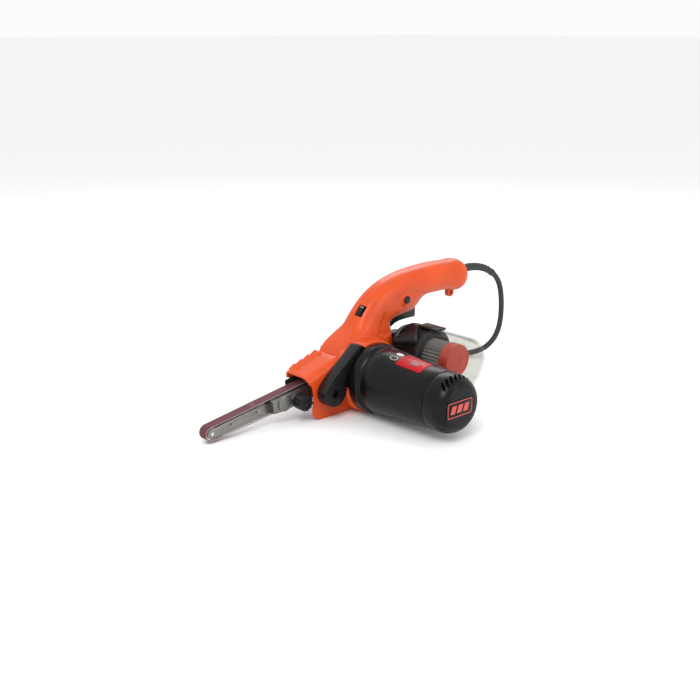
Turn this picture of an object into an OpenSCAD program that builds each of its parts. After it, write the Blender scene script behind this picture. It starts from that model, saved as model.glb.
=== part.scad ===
// Handheld power file: a narrow belt sander with a cross-mounted motor, a tensioned front arm,
// a rear handle with a trigger, and a clear dust cup behind the motor.
// Millimetres. -X is the tip of the arm, +X the handle's end, -Y the motor side, +Z up.
// Most modules are written about the drive roller's axis at the middle of the belt, and place()
// moves them into the part's frame, whose origin is the bottom centre of the tool.

/* [Belt and arm] */
// Width of the abrasive belt
belt_w = 13; // [6:1:20]
// Length of the abrasive belt around its middle
belt_len = 451; // [430:1:460]
// Thickness of the belt
belt_t = 1; // [0.6:0.1:1.2]
// Radius of the drive roller
drive_r = 10.5; // [10:0.1:11]
// Radius of the roller at the tip
tip_r = 7; // [6.5:0.1:7.4]
// Downward slope of the arm in degrees
arm_pitch = 8.5; // [6:0.1:9]

/* [Motor] */
// Radius of the flange at the root of the motor housing
flange_r = 39.5; // [38.5:0.1:39.5]
// Radius of the motor housing where the end cap starts
barrel_tip_r = 32.4; // [32:0.1:33]
// Length of the motor housing, from its flange to the end cap
barrel_len = 94; // [90:1:96]
// Radius of the motor shaft
shaft_r = 4; // [3:0.1:4.4]
// Radius of the armature's core
armature_r = 16; // [12:0.5:17]

/* [Body] */
// Half of the body's width over the belt housing
housing_half_w = 21; // [20:0.5:22]
// Half of the handle's width
grip_half_w = 17.5; // [16:0.5:18.5]
// Wall thickness of the moulded shells
wall = 2.6; // [2:0.1:3]

/* [Controls] */
// Radius of the lock-on button
lock_r = 4.6; // [3.5:0.1:5]
// Radius of the speed wheel
speed_r = 10; // [8:0.5:10.5]

/* [Dust collection] */
// Outer radius of the dust cup
cup_r = 29; // [27:0.5:30]
// Wall of the dust cup
cup_wall = 1.8; // [1.4:0.1:2.4]
// Radius of the pleated filter
filter_r = 18; // [15:0.5:19]
// Number of pleats in the filter
pleats = 28; // [18:1:34]

/* [Mains cord] */
// Diameter of the cord
cord_d = 7; // [6:0.5:8]
// Radius of a plug pin
pin_r = 2.4; // [2:0.1:2.4]
// Length of a plug pin
pin_len = 19; // [17:0.5:19]

/* [Hidden] */

orange = [0.94, 0.40, 0.25];
black = [0.13, 0.13, 0.14];
zinc = [0.60, 0.60, 0.58];
steel = [0.72, 0.73, 0.75];
copper = [0.72, 0.40, 0.20];

// Where the drive roller's axis crosses the middle of the belt, in the part's frame
axle_x = 9;
axle_y = 81.4;
axle_z = 39.5;

run_gap = 0.05;      // radial clearance of every running fit
seat_gap = 0.02;     // radial clearance of a part fixed on its shaft
mid_y = -6;          // the plane where the two body shells meet
side_y = mid_y - housing_half_w;

// ---- Placing and small shape helpers ----
module place() {
  translate([axle_x, axle_y, axle_z]) children();
}

// A frame along the arm: -X runs down to the tip, Z is square to the belt
module on_arm() {
  place() rotate([0, -arm_pitch, 0]) children();
}

// A cylinder about an axis along Y through (x, z), from y0 to y1
module rod_y(x, z, y0, y1, r) {
  translate([x, y0, z]) rotate([-90, 0, 0]) cylinder(r = r, h = y1 - y0, $fn = 48);
}

// A ring about an axis along Y
module ring_y(x, z, y0, y1, r_out, r_in) {
  translate([x, y0, z]) rotate([-90, 0, 0]) rotate_extrude($fn = 64)
    translate([r_in, 0]) square([r_out - r_in, y1 - y0]);
}

// A turned shape about an axis along Y: the profile's x is the radius, its y runs towards -Y
module turned_y(x, z, y_start) {
  translate([x, y_start, z]) rotate([90, 0, 0]) rotate_extrude($fn = 64) children();
}

// A flat outline in X and Z, from y0 to y1
module slab(y0, y1) {
  translate([0, y1, 0]) rotate([90, 0, 0]) linear_extrude(y1 - y0) children();
}

// A box from its lowest to its highest corner
module block(low, high) {
  translate(low) cube(high - low);
}

// ---- Smooth shells and cords ----
// A smooth curve through rows of numbers, with steps points for each span
function spline_at(p, i, t) =
  let (n = len(p), a = p[max(i - 1, 0)], b = p[i], c = p[i + 1], d = p[min(i + 2, n - 1)])
  0.5 * (2 * b + (c - a) * t + (2 * a - 5 * b + 4 * c - d) * t * t
         + (3 * b - a - 3 * c + d) * t * t * t);

function spline(p, steps) = concat(
  [for (i = [0 : len(p) - 2]) for (k = [0 : steps - 1]) spline_at(p, i, k / steps)],
  [p[len(p) - 1]]
);

function power(v, e) = sign(v) * pow(abs(v), e);

// Joins equal rings of points into one closed solid
module skin(rings) {
  n = len(rings[0]);
  m = len(rings);
  points = [for (ring = rings) each ring];
  sides = [
    for (i = [0 : m - 2]) for (k = [0 : n - 1])
      let (a = i * n + k, b = i * n + (k + 1) % n)
      each [[a, b, b + n], [a, b + n, a + n]]
  ];
  start = [[for (k = [0 : n - 1]) n - 1 - k]];
  finish = [[for (k = [0 : n - 1]) (m - 1) * n + k]];
  polyhedron(points = points, faces = concat(sides, start, finish), convexity = 6);
}

// One closed ring of the body, from a station [front x, front z, rear x, rear z, half width, power]
ring_sides = 28;
function body_ring(s, inset) =
  let (
    front = [s[0], s[1]], back = [s[2], s[3]],
    mid = (front + back) / 2, arm = (front - back) / 2,
    reach = max(norm(arm) - inset, 0.6), side = max(s[4] - inset, 0.6), e = 2 / s[5],
    dir = arm / norm(arm)
  )
  [for (k = [0 : ring_sides - 1])
    let (
      a = 360 * k / ring_sides,
      u = reach * power(cos(a), e),
      v = side * power(sin(a), e)
    )
    [mid[0] + dir[0] * u, mid_y + v, mid[1] + dir[1] * u]];

// The body's stations: up the belt housing, round the neck and back along the handle
body_stations = [
  [-38, -39.5, 12, -39.5, housing_half_w - 1, 7],
  [-38, -33, 26, -34, housing_half_w, 7],
  [-38, -15, 41, -18, housing_half_w, 7],
  [-38, 5, 48, 4, housing_half_w, 7],
  [-37, 22, 50, 20, housing_half_w, 7],
  [-29, 34, 50, 32, housing_half_w - 0.5, 6],
  [-15, 43, 50, 40, housing_half_w - 1, 5],
  [-4, 51, 51, 46, housing_half_w - 2, 3.6],
  [3, 62, 55, 50, grip_half_w + 0.5, 3],
  [14, 75, 65, 52.5, grip_half_w + 0.5, 2.8],
  [29, 87, 77, 53.5, grip_half_w + 0.5, 2.7],
  [48, 96, 90, 55, grip_half_w + 0.5, 2.7],
  [73, 102.5, 98.5, 61, grip_half_w, 2.6],
  [100, 105.5, 108, 69, grip_half_w, 2.5],
  [130, 106.5, 132, 70, grip_half_w, 2.5],
  [152, 105.5, 148, 69.5, grip_half_w, 2.5],
  [161, 106, 156, 68.5, grip_half_w + 0.6, 2.5],
  [170, 104.5, 165, 66.5, grip_half_w + 0.8, 2.5],
  [178, 98.5, 175, 69.5, grip_half_w - 2, 2.4],
  [184, 90.5, 183, 77, 9, 2.2]
];

function inset_ends(s, depth) = [
  for (i = [0 : len(s) - 1])
    i == 0 ? [s[0][0], s[0][1] + depth, s[0][2], s[0][3] + depth, s[0][4], s[0][5]]
    : i == len(s) - 1 ? s[i] - [depth, 0, depth, 0, 0, 0] : s[i]
];

module body_solid(inset) {
  stations = inset > 0 ? inset_ends(body_stations, inset) : body_stations;
  skin([for (s = spline(stations, 2)) body_ring(s, inset)]);
}

// A tube swept along points, with one radius per point
function unit(v) = v / norm(v);
function sweep_dir(p, i) = unit(p[min(i + 1, len(p) - 1)] - p[max(i - 1, 0)]);
function sweep_ring(p, i, r, sides) =
  let (
    t = sweep_dir(p, i),
    flat = norm([t[0], t[1]]) < 0.05 ? [0, 1, 0] : unit([-t[1], t[0], 0]),
    up = cross(t, flat)
  )
  [for (k = [0 : sides - 1]) p[i] + r * (cos(360 * k / sides) * flat + sin(360 * k / sides) * up)];

// ---- Body shells ----
// Screws that hold the two body shells together: [x, z]
body_screws = [[-29, 27], [-28, -31], [34, -24], [45, 63], [108, 88], [142, 88]];
screw_r = 1.7;
screw_head_r = 3.4;
lock_x = 70;
lock_z = 73;
speed_x = 15.8;
speed_y = -11;
speed_z = 63;
hang_x = 161;
hang_z = 64;
hang_r = 2.5;
screw_seat_y = 9;
base_z = -39.5;      // the underside the tool stands on
collar_r = 41.5;
collar_end_y = -43;
spigot_r = 33;

module body_cuts() {
  // way through to the nose for the belt and the arm
  block([-46, -18, -29], [-34, 11.5, 15]);
  // seat of the motor housing's spigot
  rod_y(0, 0, collar_end_y - 1, side_y + wall + 0.5, spigot_r + run_gap);
  // slot for the trigger
  block([52, -12.4, 38], [97, 0.4, 62]);
  // window for the speed wheel
  translate([speed_x, speed_y, speed_z]) rotate([0, -49.5, 0]) block([-6.5, -4.2, 0], [6.5, 4.2, 20]);
  rod_y(speed_x, speed_z, speed_y - 3.7, speed_y + 3.7, speed_r + 0.5);
  // hole for the lock-on button
  rod_y(lock_x, lock_z, -40, -18, lock_r + run_gap);
  // mouth for the dust duct
  block([46, duct_y0 - 0.2, duct_z - 7.2], [60, duct_y1 + 0.2, duct_z + 7.2]);
  // mouth for the cord's strain relief
  translate([170, mid_y, exit_z]) rotate([0, 90, 0]) cylinder(r = 5.8, h = 30, $fn = 32);
  // hole to hang the tool up by
  rod_y(hang_x, hang_z, mid_y - 4, mid_y + 4, hang_r);
}

module body_posts() {
  for (s = body_screws) rod_y(s[0], s[1], -26, 14, 4.4);
}

module body_shell() {
  difference() {
    union() {
      difference() {
        body_solid(0);
        body_solid(wall);
      }
      intersection() {
        body_solid(0.4);
        body_posts();
      }
      // lug under the end of the handle
      difference() {
        rod_y(hang_x, hang_z, mid_y - 3, mid_y + 3, hang_r + 2.6);
        body_solid(wall / 2);
      }
    }
    body_cuts();
    for (s = body_screws) {
      rod_y(s[0], s[1], -19, 20, screw_r + run_gap);
      rod_y(s[0], s[1], screw_seat_y, 20, screw_head_r + 0.3);
    }
  }
}

// Ring that carries the motor housing, cast with the left shell
module motor_collar() {
  difference() {
    ring_y(0, 0, collar_end_y, side_y + 0.4, collar_r, spigot_r + run_gap);
    // pocket that the closed lever nests in
    slab(collar_end_y - 1, lever_y1 + 0.6) lever_outline(0.6);
    // flat foot level with the body's underside
    block([-50, collar_end_y - 1, -50], [50, side_y + 1, base_z]);
  }
}

module body_left() {
  color(orange) place() {
    intersection() {
      body_shell();
      block([-60, -80, -60], [220, mid_y, 130]);
    }
    motor_collar();
  }
}

module body_right() {
  color(orange) place() {
    intersection() {
      body_shell();
      block([-60, mid_y, -60], [220, 80, 130]);
    }
  }
}

// Each screw runs from its seat in the right shell into the left one
module housing_screws() {
  color(steel) place() {
    for (s = body_screws) {
      rod_y(s[0], s[1], -17, screw_seat_y, screw_r);
      difference() {
        rod_y(s[0], s[1], screw_seat_y, screw_seat_y + 2.2, screw_head_r);
        rod_y(s[0], s[1], screw_seat_y + 0.8, screw_seat_y + 3, 1.2);
      }
    }
  }
}

// Hood over the belt in front of the body: near wall, stepped top and a short far wall
shroud_y0 = side_y;
shroud_y1 = 13;
module nose_shroud() {
  near = [
    [-82, 9.5], [-81.5, 0], [-80, -12], [-77, -26], [-73.5, -35], [-67, -39.5],
    [-38.4, -39.5], [-38.4, 22], [-46, 20]
  ];
  far = [[-81, 12], [-83, 4], [-74, 1], [-60, 4], [-38.4, 8], [-38.4, 30]];
  top = [
    [-81, 9.5], [-81, 12], [-69, 16], [-68, 17.6], [-56, 21.4], [-55, 23], [-44, 27.2], [-43, 28.8],
    [-38.4, 30.5], [-38.4, 22], [-46, 20]
  ];
  color(orange) place() {
    difference() {
      union() {
        slab(shroud_y0, shroud_y0 + wall) polygon(near);
        slab(shroud_y0, shroud_y1) polygon(top);
        slab(shroud_y1 - wall, shroud_y1) polygon(far);
      }
      rod_y(lever_x, lever_z, -40, -20, lever_shaft_r + run_gap);
      // step round the collar
      rod_y(0, 0, side_y - 1, side_y + 0.5, collar_r + 0.2);
    }
  }
}

// Guard along the belt's free side
module belt_guard() {
  color(black) on_arm() {
    slab(8.4, 10.4) polygon([[-84, -8], [-84, 13.5], [-74, 14.2], [-42, 14.2], [-42, -12], [-60, -12]]);
    slab(7.4, 8.4) polygon([[-70, 11.6], [-70, 13.4], [-44, 13.4], [-44, 11.6]]);
  }
}

// ---- Motor ----
barrel_start_y = -56;
barrel_root_r = 38;
barrel_end_y = barrel_start_y - barrel_len;
barrel_wall = 2.6;
cap_end_y = -177;
bearing_r = 11;
motor_screw_places = [for (a = [45 : 90 : 315]) [28.5 * cos(a), 28.5 * sin(a)]];
module motor_housing() {
  color(black) place() {
    difference() {
      union() {
        turned_y(0, 0, barrel_start_y) polygon([
          [22, 0], [flange_r, 0], [flange_r, 7], [flange_r - 0.9, 8.4], [barrel_root_r, 9],
          [barrel_tip_r, barrel_len], [barrel_tip_r - barrel_wall, barrel_len],
          [barrel_root_r - barrel_wall, 9], [34, 5], [22, 3.5]
        ]);
        // posts for the screws into the collar
        for (s = motor_screw_places) rod_y(s[0], s[1], barrel_start_y - 12, barrel_start_y - 1, 4.2);
        // skirt that meets the collar, and spigot that enters it
        ring_y(0, 0, barrel_start_y, collar_end_y, flange_r, spigot_r - 3);
        ring_y(0, 0, barrel_start_y - 1, side_y + 1, spigot_r, spigot_r - 3);
      }
      for (s = motor_screw_places) rod_y(s[0], s[1], -80, 0, 1.8);
    }
    // carrier of the front bearing
    difference() {
      ring_y(0, 0, side_y - 7, side_y, spigot_r - 3, bearing_r + seat_gap);
      for (a = [0 : 60 : 300]) rod_y(21 * cos(a), 21 * sin(a), -40, -20, 4.5);
    }
  }
}

module motor_screws() {
  color(steel) place() for (s = motor_screw_places) {
    rod_y(s[0], s[1], barrel_start_y - 12, barrel_start_y + 10, 1.75);
    rod_y(s[0], s[1], barrel_start_y - 14, barrel_start_y - 12, 3.2);
  }
}

// Domed cap over the brush end, with two groups of slanting cooling slots on its shoulder
cap_dome = 10;
cap_straight = 9;
module motor_end_cap() {
  cap_len = barrel_end_y - cap_end_y;
  dome_len = cap_len - cap_straight;
  face_r = barrel_tip_r - cap_dome;
  shoulder = [for (a = [0 : 15 : 90]) [face_r + cap_dome * cos(a), cap_straight + dome_len * sin(a)]];
  inside = [for (a = [90 : -15 : 0])
    [face_r - 3 + cap_dome * cos(a), cap_straight - 3 + dome_len * sin(a)]];
  color(black) place() {
    difference() {
      turned_y(0, 0, barrel_end_y) polygon(concat(
        [[barrel_tip_r, 0]], shoulder, [[0, cap_len], [0, cap_len - 3]], inside, [[barrel_tip_r - 3, 0]]
      ));
      for (side = [0, 180]) for (i = [0 : 7]) rotate([0, side + 14 - 12 * i + 20, 0])
        translate([0, cap_end_y + 4, 0]) rotate([0, 0, 24]) block([-1.1, 0, 16], [1.1, 12, 36]);
    }
    // seat of the rear bearing
    ring_y(0, 0, cap_end_y + 3, cap_end_y + 12, bearing_r + 2, bearing_r + seat_gap);
  }
}

// Raised plate on the cap's face, with a border line
module badge_plate() {
  color(black) place() {
    slab(cap_end_y - 0.8, cap_end_y) {
      translate([-4, 0]) square([34, 16], center = true);
    }
  }
}

// A wedge of space about the motor's axis, from one angle to another, seen from the motor side
module motor_wedge(from, to, y0, y1) {
  steps = 6;
  translate([0, y1, 0]) rotate([90, 0, 0]) linear_extrude(y1 - y0) polygon(concat(
    [[0, 0]], [for (i = [0 : steps]) let (a = from + (to - from) * i / steps) [80 * cos(a), 80 * sin(a)]]
  ));
}

// Thin curved label on top of the motor housing
label_y0 = -131;
label_y1 = -95;
function barrel_r_at(y) =
  barrel_root_r + (barrel_tip_r - barrel_root_r) * (barrel_start_y - 9 - y) / (barrel_len - 9);
module rating_label() {
  color([0.85, 0.05, 0.15]) place() intersection() {
    turned_y(0, 0, label_y1) polygon([
      [barrel_r_at(label_y1), 0], [barrel_r_at(label_y1) + 0.3, 0],
      [barrel_r_at(label_y0) + 0.3, label_y1 - label_y0], [barrel_r_at(label_y0), label_y1 - label_y0]
    ]);
    motor_wedge(82, 120, label_y0, label_y1);
  }
}

// Laminated ring with two poles
stator_r = 29;
core_y0 = -125;
core_y1 = -86;
module stator_core() {
  color(zinc) place() {
    ring_y(0, 0, core_y0, core_y1, stator_r, stator_r - 5);
    for (s = [-1, 1]) intersection() {
      ring_y(0, 0, core_y0, core_y1, stator_r - 4, armature_r + 0.5);
      block([s > 0 ? 8 : -40, core_y0, -14], [s > 0 ? 40 : -8, core_y1, 14]);
    }
  }
}

// One wound coil round each pole
module field_coils() {
  color(copper) place() {
    for (s = [-1, 1]) for (y = [core_y0 - 6.5, core_y1]) intersection() {
      ring_y(0, 0, y, y + 6.5, stator_r - 1, armature_r + 2);
      block([s > 0 ? 6 : -40, y, -22], [s > 0 ? 40 : -6, y + 6.5, 22]);
    }
  }
}

slots = 12;
slot_r = 1.8;
winding_r = armature_r - 3;
module armature_core() {
  color(zinc) place() difference() {
    ring_y(0, 0, core_y0, core_y1, armature_r, shaft_r + seat_gap);
    for (i = [0 : slots - 1]) rotate([0, 360 * i / slots, 0])
      rod_y(0, winding_r, core_y0 - 5, core_y1 + 5, slot_r);
  }
}

module armature_windings() {
  color(copper) place() {
    ring_y(0, 0, core_y1 + 0.05, core_y1 + 6, winding_r + 1, shaft_r + 1);
    ring_y(0, 0, core_y0 - 6, core_y0 - 0.05, winding_r + 1, shaft_r + 1);
    for (i = [0 : slots - 1]) rotate([0, 360 * i / slots, 0])
      rod_y(0, winding_r, core_y0 - 1, core_y1 + 1, slot_r - 0.1);
  }
}

commutator_r = 11;
commutator_y0 = -151;
commutator_y1 = -138;
module commutator() {
  bars = 24;
  color(copper) place() difference() {
    ring_y(0, 0, commutator_y0, commutator_y1, commutator_r, shaft_r + seat_gap);
    for (i = [0 : bars - 1]) rotate([0, 360 * i / bars, 0])
      block([-0.2, commutator_y0 - 1, commutator_r - 1], [0.2, commutator_y1 + 1, commutator_r + 1]);
  }
}

shaft_end_y = -171;
module motor_shaft() {
  color(steel) place() rod_y(0, 0, shaft_end_y, belt_w / 2 + 1.5, shaft_r);
}

fan_y0 = -79;
fan_y1 = -71.5;
module cooling_fan() {
  blades = 14;
  color([0.2, 0.2, 0.2]) place() {
    ring_y(0, 0, fan_y0, fan_y0 + 1.5, 30, shaft_r + seat_gap);
    ring_y(0, 0, fan_y0, fan_y1, 8, shaft_r + seat_gap);
    for (i = [0 : blades - 1]) rotate([0, 360 * i / blades, 0])
      translate([0, 0, 19]) rotate([0, 20, 0]) block([-0.7, fan_y0 + 0.5, -8.5], [0.7, fan_y1, 8.5]);
  }
}

module bearing(y0) {
  ring_y(0, 0, y0, y0 + 7, bearing_r, bearing_r - 2.4);
  ring_y(0, 0, y0, y0 + 7, shaft_r + 2.2, shaft_r + run_gap);
  ring_y(0, 0, y0 + 1, y0 + 6, bearing_r - 2.4, shaft_r + 2.2);
}
module front_bearing() {
  color(steel) place() bearing(side_y - 7);
}
module rear_bearing() {
  color(steel) place() bearing(cap_end_y + 4);
}

brush_y0 = -149;
brush_y1 = -140;
module brush_holders() {
  color([0.35, 0.2, 0.1]) place() for (a = [0, 180]) rotate([0, a, 0]) difference() {
    block([13.5, brush_y0, -5], [27.5, brush_y1, 5]);
    block([10, brush_y0 + 1.5, -3.1], [26, brush_y1 - 1.5, 3.1]);
  }
}

module carbon_brushes() {
  color([0.2, 0.2, 0.2]) place() for (a = [0, 180]) rotate([0, a, 0])
    block([commutator_r + 0.1, brush_y0 + 1.6, -3], [22, brush_y1 - 1.6, 3]);
}

// ---- Belt drive ----
belt_gap = 0.05;
mid_drive_r = drive_r + belt_gap + belt_t / 2;
mid_tip_r = tip_r + belt_gap + belt_t / 2;
// Centre distance that takes up the belt's length, for two unequal rollers
rough_reach = (belt_len - PI * (mid_drive_r + mid_tip_r)) / 2;
reach = rough_reach - pow(mid_drive_r - mid_tip_r, 2) / (2 * rough_reach);
belt_lean = asin((drive_r - tip_r) / reach);

// Outline of a strap drawn tight round both rollers, gap out from their faces
function arc(x, r, from, to, n) =
  [for (i = [0 : n]) let (a = from + (to - from) * i / n) [x + r * cos(a), r * sin(a)]];
module strap(gap) {
  turn = 90 + belt_lean;
  polygon(concat(
    arc(0, drive_r + gap, -turn, turn, 40),
    arc(-reach, tip_r + gap, turn, 360 - turn, 32)
  ));
}

module abrasive_belt() {
  color([0.50, 0.27, 0.32]) on_arm() slab(-belt_w / 2, belt_w / 2) difference() {
    strap(belt_gap + belt_t);
    strap(belt_gap);
  }
}

module drive_roller() {
  color(black) place() ring_y(0, 0, -belt_w / 2 - 0.5, belt_w / 2 + 0.5, drive_r, shaft_r + seat_gap);
}

axle_r = 2;
roller_half_w = 4.7;
module tip_roller() {
  color(steel) on_arm() ring_y(-reach, 0, -roller_half_w, roller_half_w, tip_r, axle_r + run_gap);
}
module tip_axle() {
  color(steel) on_arm() rod_y(-reach, 0, -6.4, 6.4, axle_r - seat_gap);
}

// Pressed steel fork: two cheeks, a web and the tongue that slides in the casting
cheek_end = -126;
rivet_places = [-172, -138];
module front_arm() {
  cheek = [
    [-reach, 5.4], [-150, 6.2], [cheek_end, 6.6],
    [cheek_end, -5.94 - (reach + cheek_end) * tan(belt_lean)], [-reach + 12, -6.1], [-reach, -5.4]
  ];
  color(zinc) on_arm() {
    difference() {
      union() {
        for (y = [-6.4, 4.9]) slab(y, y + 1.5) {
          polygon(cheek);
          translate([-reach, 0]) circle(r = 5.4, $fn = 48);
        }
        block([-178, -4.9, 2.6], [cheek_end, 4.9, 4.4]);
        block([cheek_end - 6, -4.9, -4], [-78, 4.9, 4]);
      }
      rod_y(-reach, 0, -8, 8, axle_r);
      for (x = rivet_places) rod_y(x, 1.2, -8, 8, 1.6);
    }
  }
}

module arm_rivets() {
  color([0.3, 0.3, 0.32]) on_arm() for (x = rivet_places) for (s = [-1, 1]) {
    rod_y(x, 1.2, s > 0 ? 4.9 : -6.4, s > 0 ? 6.4 : -4.9, 1.58);
  }
}

// Steel strip that backs the belt's working run
module platen() {
  color(steel) on_arm() translate([-reach, 0, 0]) rotate([0, belt_lean, 0])
    block([12, -6, -tip_r + 0.1], [reach + cheek_end, 6, -tip_r + 1]);
}

casting_front = -119;
boss_x = -105;
knob_x = -86;
knob_z = -3.5;
module arm_casting() {
  color(zinc) on_arm() difference() {
    union() {
      // core between the belt's two runs
      block([casting_front, -8, -6.6], [-18, 6.2, 6.6]);
      // flange along the near side
      slab(-11.5, -7) polygon([
        [casting_front, -7.5], [casting_front, 6.5], [-60, 8.5], [-20, 9], [-20, -9], [-70, -9.5], [-108, -9]
      ]);
      rod_y(boss_x, -0.5, -14.5, -8, 8);
      rod_y(knob_x, knob_z, -13, -8, 8.5);
      // foot that the body shells clamp
      block([-29, side_y + 4, -8], [-18, -8, 8]);
    }
    // socket for the tongue and the spring
    block([casting_front - 1, -5, -4.1], [-44, 5, 4.1]);
    // tapped hole for the tracking screw
    rod_y(knob_x, knob_z, -20, -5, 2.5 + run_gap);
    // way for the motor shaft and the drive roller
    rod_y(0, 0, -20, 10, drive_r + 4);
  }
}

module tension_spring() {
  color(steel) on_arm() for (i = [0 : 8]) translate([-76 + i * 3.4, 0, 0]) rotate([0, 90, 0])
    rotate_extrude($fn = 32) translate([3, 0]) circle(r = 0.6, $fn = 16);
}

module tracking_knob() {
  color(black) on_arm() difference() {
    rod_y(knob_x, knob_z, -24.2, -13.4, 9);
    rod_y(knob_x, knob_z, -26, -12, 2.5);
    for (i = [0 : 17]) rod_y(knob_x + 9.4 * cos(20 * i), knob_z + 9.4 * sin(20 * i), -26, -13, 0.9);
  }
}

module tracking_screw() {
  color(steel) on_arm() {
    rod_y(knob_x, knob_z, -23.4, -5.4, 2.5 - seat_gap);
  }
}

// ---- Tension lever ----
lever_x = -55;
lever_z = -8.5;
lever_shaft_r = 4;
lever_top = [-17, 35.5];
lever_nest_r = 36.6;  // the closed lever nests in the collar down to this radius
lever_lean = 46;
lever_y0 = -42;
lever_y1 = -28;
module lever_outline(grow) {
  difference() {
    hull() {
      translate([lever_x, lever_z]) circle(r = 14 + grow, $fn = 48);
      translate(lever_top) rotate(lever_lean) square([6 + 2 * grow, 8 + 2 * grow], center = true);
    }
    circle(r = lever_nest_r - grow, $fn = 96);
  }
}
module tension_lever() {
  color(black) place() difference() {
    slab(lever_y0, lever_y1) lever_outline(0);
    // recess between the rim and the middle rib
    difference() {
      slab(lever_y0 - 1, lever_y0 + 8) lever_outline(-3);
      rod_y(lever_x, lever_z, -50, -20, 12);
      translate([lever_x, -50, lever_z]) rotate([0, -lever_lean, 0]) block([0, 0, -1.2], [70, 30, 1.2]);
    }
    rod_y(lever_x, lever_z, lever_y0 - 1, lever_y0 + 9, 3.6);
    rod_y(lever_x, lever_z, -50, -20, 2.2);
  }
}

// Shaft with the cam that draws the front arm back
module lever_shaft() {
  color(steel) place() difference() {
    union() {
      rod_y(lever_x, lever_z, -27.9, -15.4, lever_shaft_r);
      rod_y(lever_x + 2.5, lever_z, -23, -17, 7.5);
    }
    rod_y(lever_x, lever_z, -30, -20, 2.2);
  }
}

module lever_screw() {
  color(steel) place() {
    rod_y(lever_x, lever_z, lever_y0 + 9, -20.5, 2.2 - seat_gap);
    difference() {
      rod_y(lever_x, lever_z, lever_y0 + 6, lever_y0 + 9, 3.5);
      rod_y(lever_x, lever_z, lever_y0 + 5, lever_y0 + 7.4, 1.3);
    }
  }
}

// ---- Controls ----
trigger_x = 60;
trigger_z = 57;
module trigger() {
  color(black) place() difference() {
    slab(-12, 0) polygon([
      [53.5, 54], [53, 42], [54, 38.5], [57, 41], [63, 44], [70, 45.6], [80, 46.2], [95, 46],
      [96, 48], [96, 57], [90, 60], [66, 60], [58, 59]
    ]);
    rod_y(trigger_x, trigger_z, -20, 10, 1.6);
  }
}

module trigger_spring() {
  color(steel) place() for (i = [0 : 4]) translate([84, mid_y, 61 + i * 1.5])
    rotate_extrude($fn = 32) translate([2.6, 0]) circle(r = 0.45, $fn = 16);
}

module switch_body() {
  color([0.25, 0.25, 0.27]) place() {
    difference() {
      block([64, -15, 68.6], [94, 3, 88]);
      rod_y(lock_x, lock_z, -16, -11, lock_r - 1.6 + run_gap);
    }
    block([74, -8, 64.6], [78, -4, 68.6]);
  }
}

module lock_button() {
  color(black) place() {
    rod_y(lock_x, lock_z, -25.6, -18.4, lock_r);
    rod_y(lock_x, lock_z, -18.4, -15.2, lock_r - 1.6);
  }
}

module speed_wheel() {
  color(black) place() difference() {
    rod_y(speed_x, speed_z, speed_y - 3.2, speed_y + 3.2, speed_r);
    rod_y(speed_x, speed_z, -40, 10, 2);
    for (i = [0 : 23]) rotate_about(speed_x, speed_z, 15 * i)
      block([speed_r - 0.5, -40, -0.6], [speed_r + 1, 10, 0.6]);
  }
}
module rotate_about(x, z, a) {
  translate([x, 0, z]) rotate([0, a, 0]) children();
}

module speed_module() {
  color([0.1, 0.35, 0.2]) place() {
    rod_y(speed_x, speed_z, speed_y - 3.2, -7.4, 2 - run_gap);
    block([13, -7.6, 55], [38, -5, 67.5]);
    block([26, -5, 58], [34, 2, 66]);
  }
}

// ---- Dust collection ----
duct_z = 26;
duct_y0 = -13.6;
duct_y1 = -1.2;
can_x = 76;
can_z = 15.5;
can_back_y = -14;
cup_start_y = -62;
cup_end_y = -118;

module dust_duct() {
  color(black) place() {
    difference() {
      block([48, duct_y0, duct_z - 7], [62, duct_y1, duct_z + 7]);
      block([40, duct_y0 + 1.8, duct_z - 5], [70, duct_y1 - 1.8, duct_z + 5]);
    }
  }
}

// Tapered inlet that leads from the motor's side into the case
horn_from = [42, -30.5, 30];
horn_to = [61, -52, 30];
module horn(r0, r1, back) {
  way = horn_to - horn_from;
  translate(horn_from) rotate([0, 90, atan2(way[1], way[0])])
    translate([0, 0, -back]) cylinder(r1 = r0, r2 = r1, h = norm(way), $fn = 64);
}

// Closed round case behind the motor that the filter plugs into
module canister_base() {
  color(black) place() {
    difference() {
      union() {
        turned_y(can_x, can_z, can_back_y) polygon([
          [0, 0], [cup_r - 9, 0], [cup_r - 5, 1], [cup_r - 3.6, 3.4], [cup_r - 3.2, 7],
          [cup_r - 1.2, 10], [cup_r, 12.5], [cup_r, 46],
          [cup_r - 2.5, 46], [cup_r - 2.5, 14], [cup_r - 5.6, 8.5], [cup_r - 7, 3.4], [0, 2.6]
        ]);
        // neck that meets the duct
        block([62.1, can_back_y - 0.5, duct_z - 7], [74, duct_y1, duct_z + 7]);
        difference() {
          horn(4.5, 12, 0);
          rod_y(can_x, can_z, cup_start_y - 1, can_back_y - 13, cup_r - 2.4);
        }
      }
      horn(2.9, 10.4, 1);
      // elbow that leads the dust from the duct into the case
      block([60, duct_y0 + 1.8, duct_z - 5], [72, duct_y1 - 1.8, duct_z + 5]);
      block([64, can_back_y - 4, duct_z - 5], [72, duct_y1 - 1.8, duct_z + 5]);
    }
  }
}

module canister_latch() {
  color(black) place() {
    low = can_z + cup_r + 0.2;
    block([can_x - 8, cup_start_y - 12, low], [can_x + 8, cup_start_y + 18, low + 2.8]);
  }
}

module cup_seal() {
  color([0.2, 0.2, 0.2]) place() ring_y(can_x, can_z, -61.8, -60.2, cup_r - 0.4, cup_r - 4);
}

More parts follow.
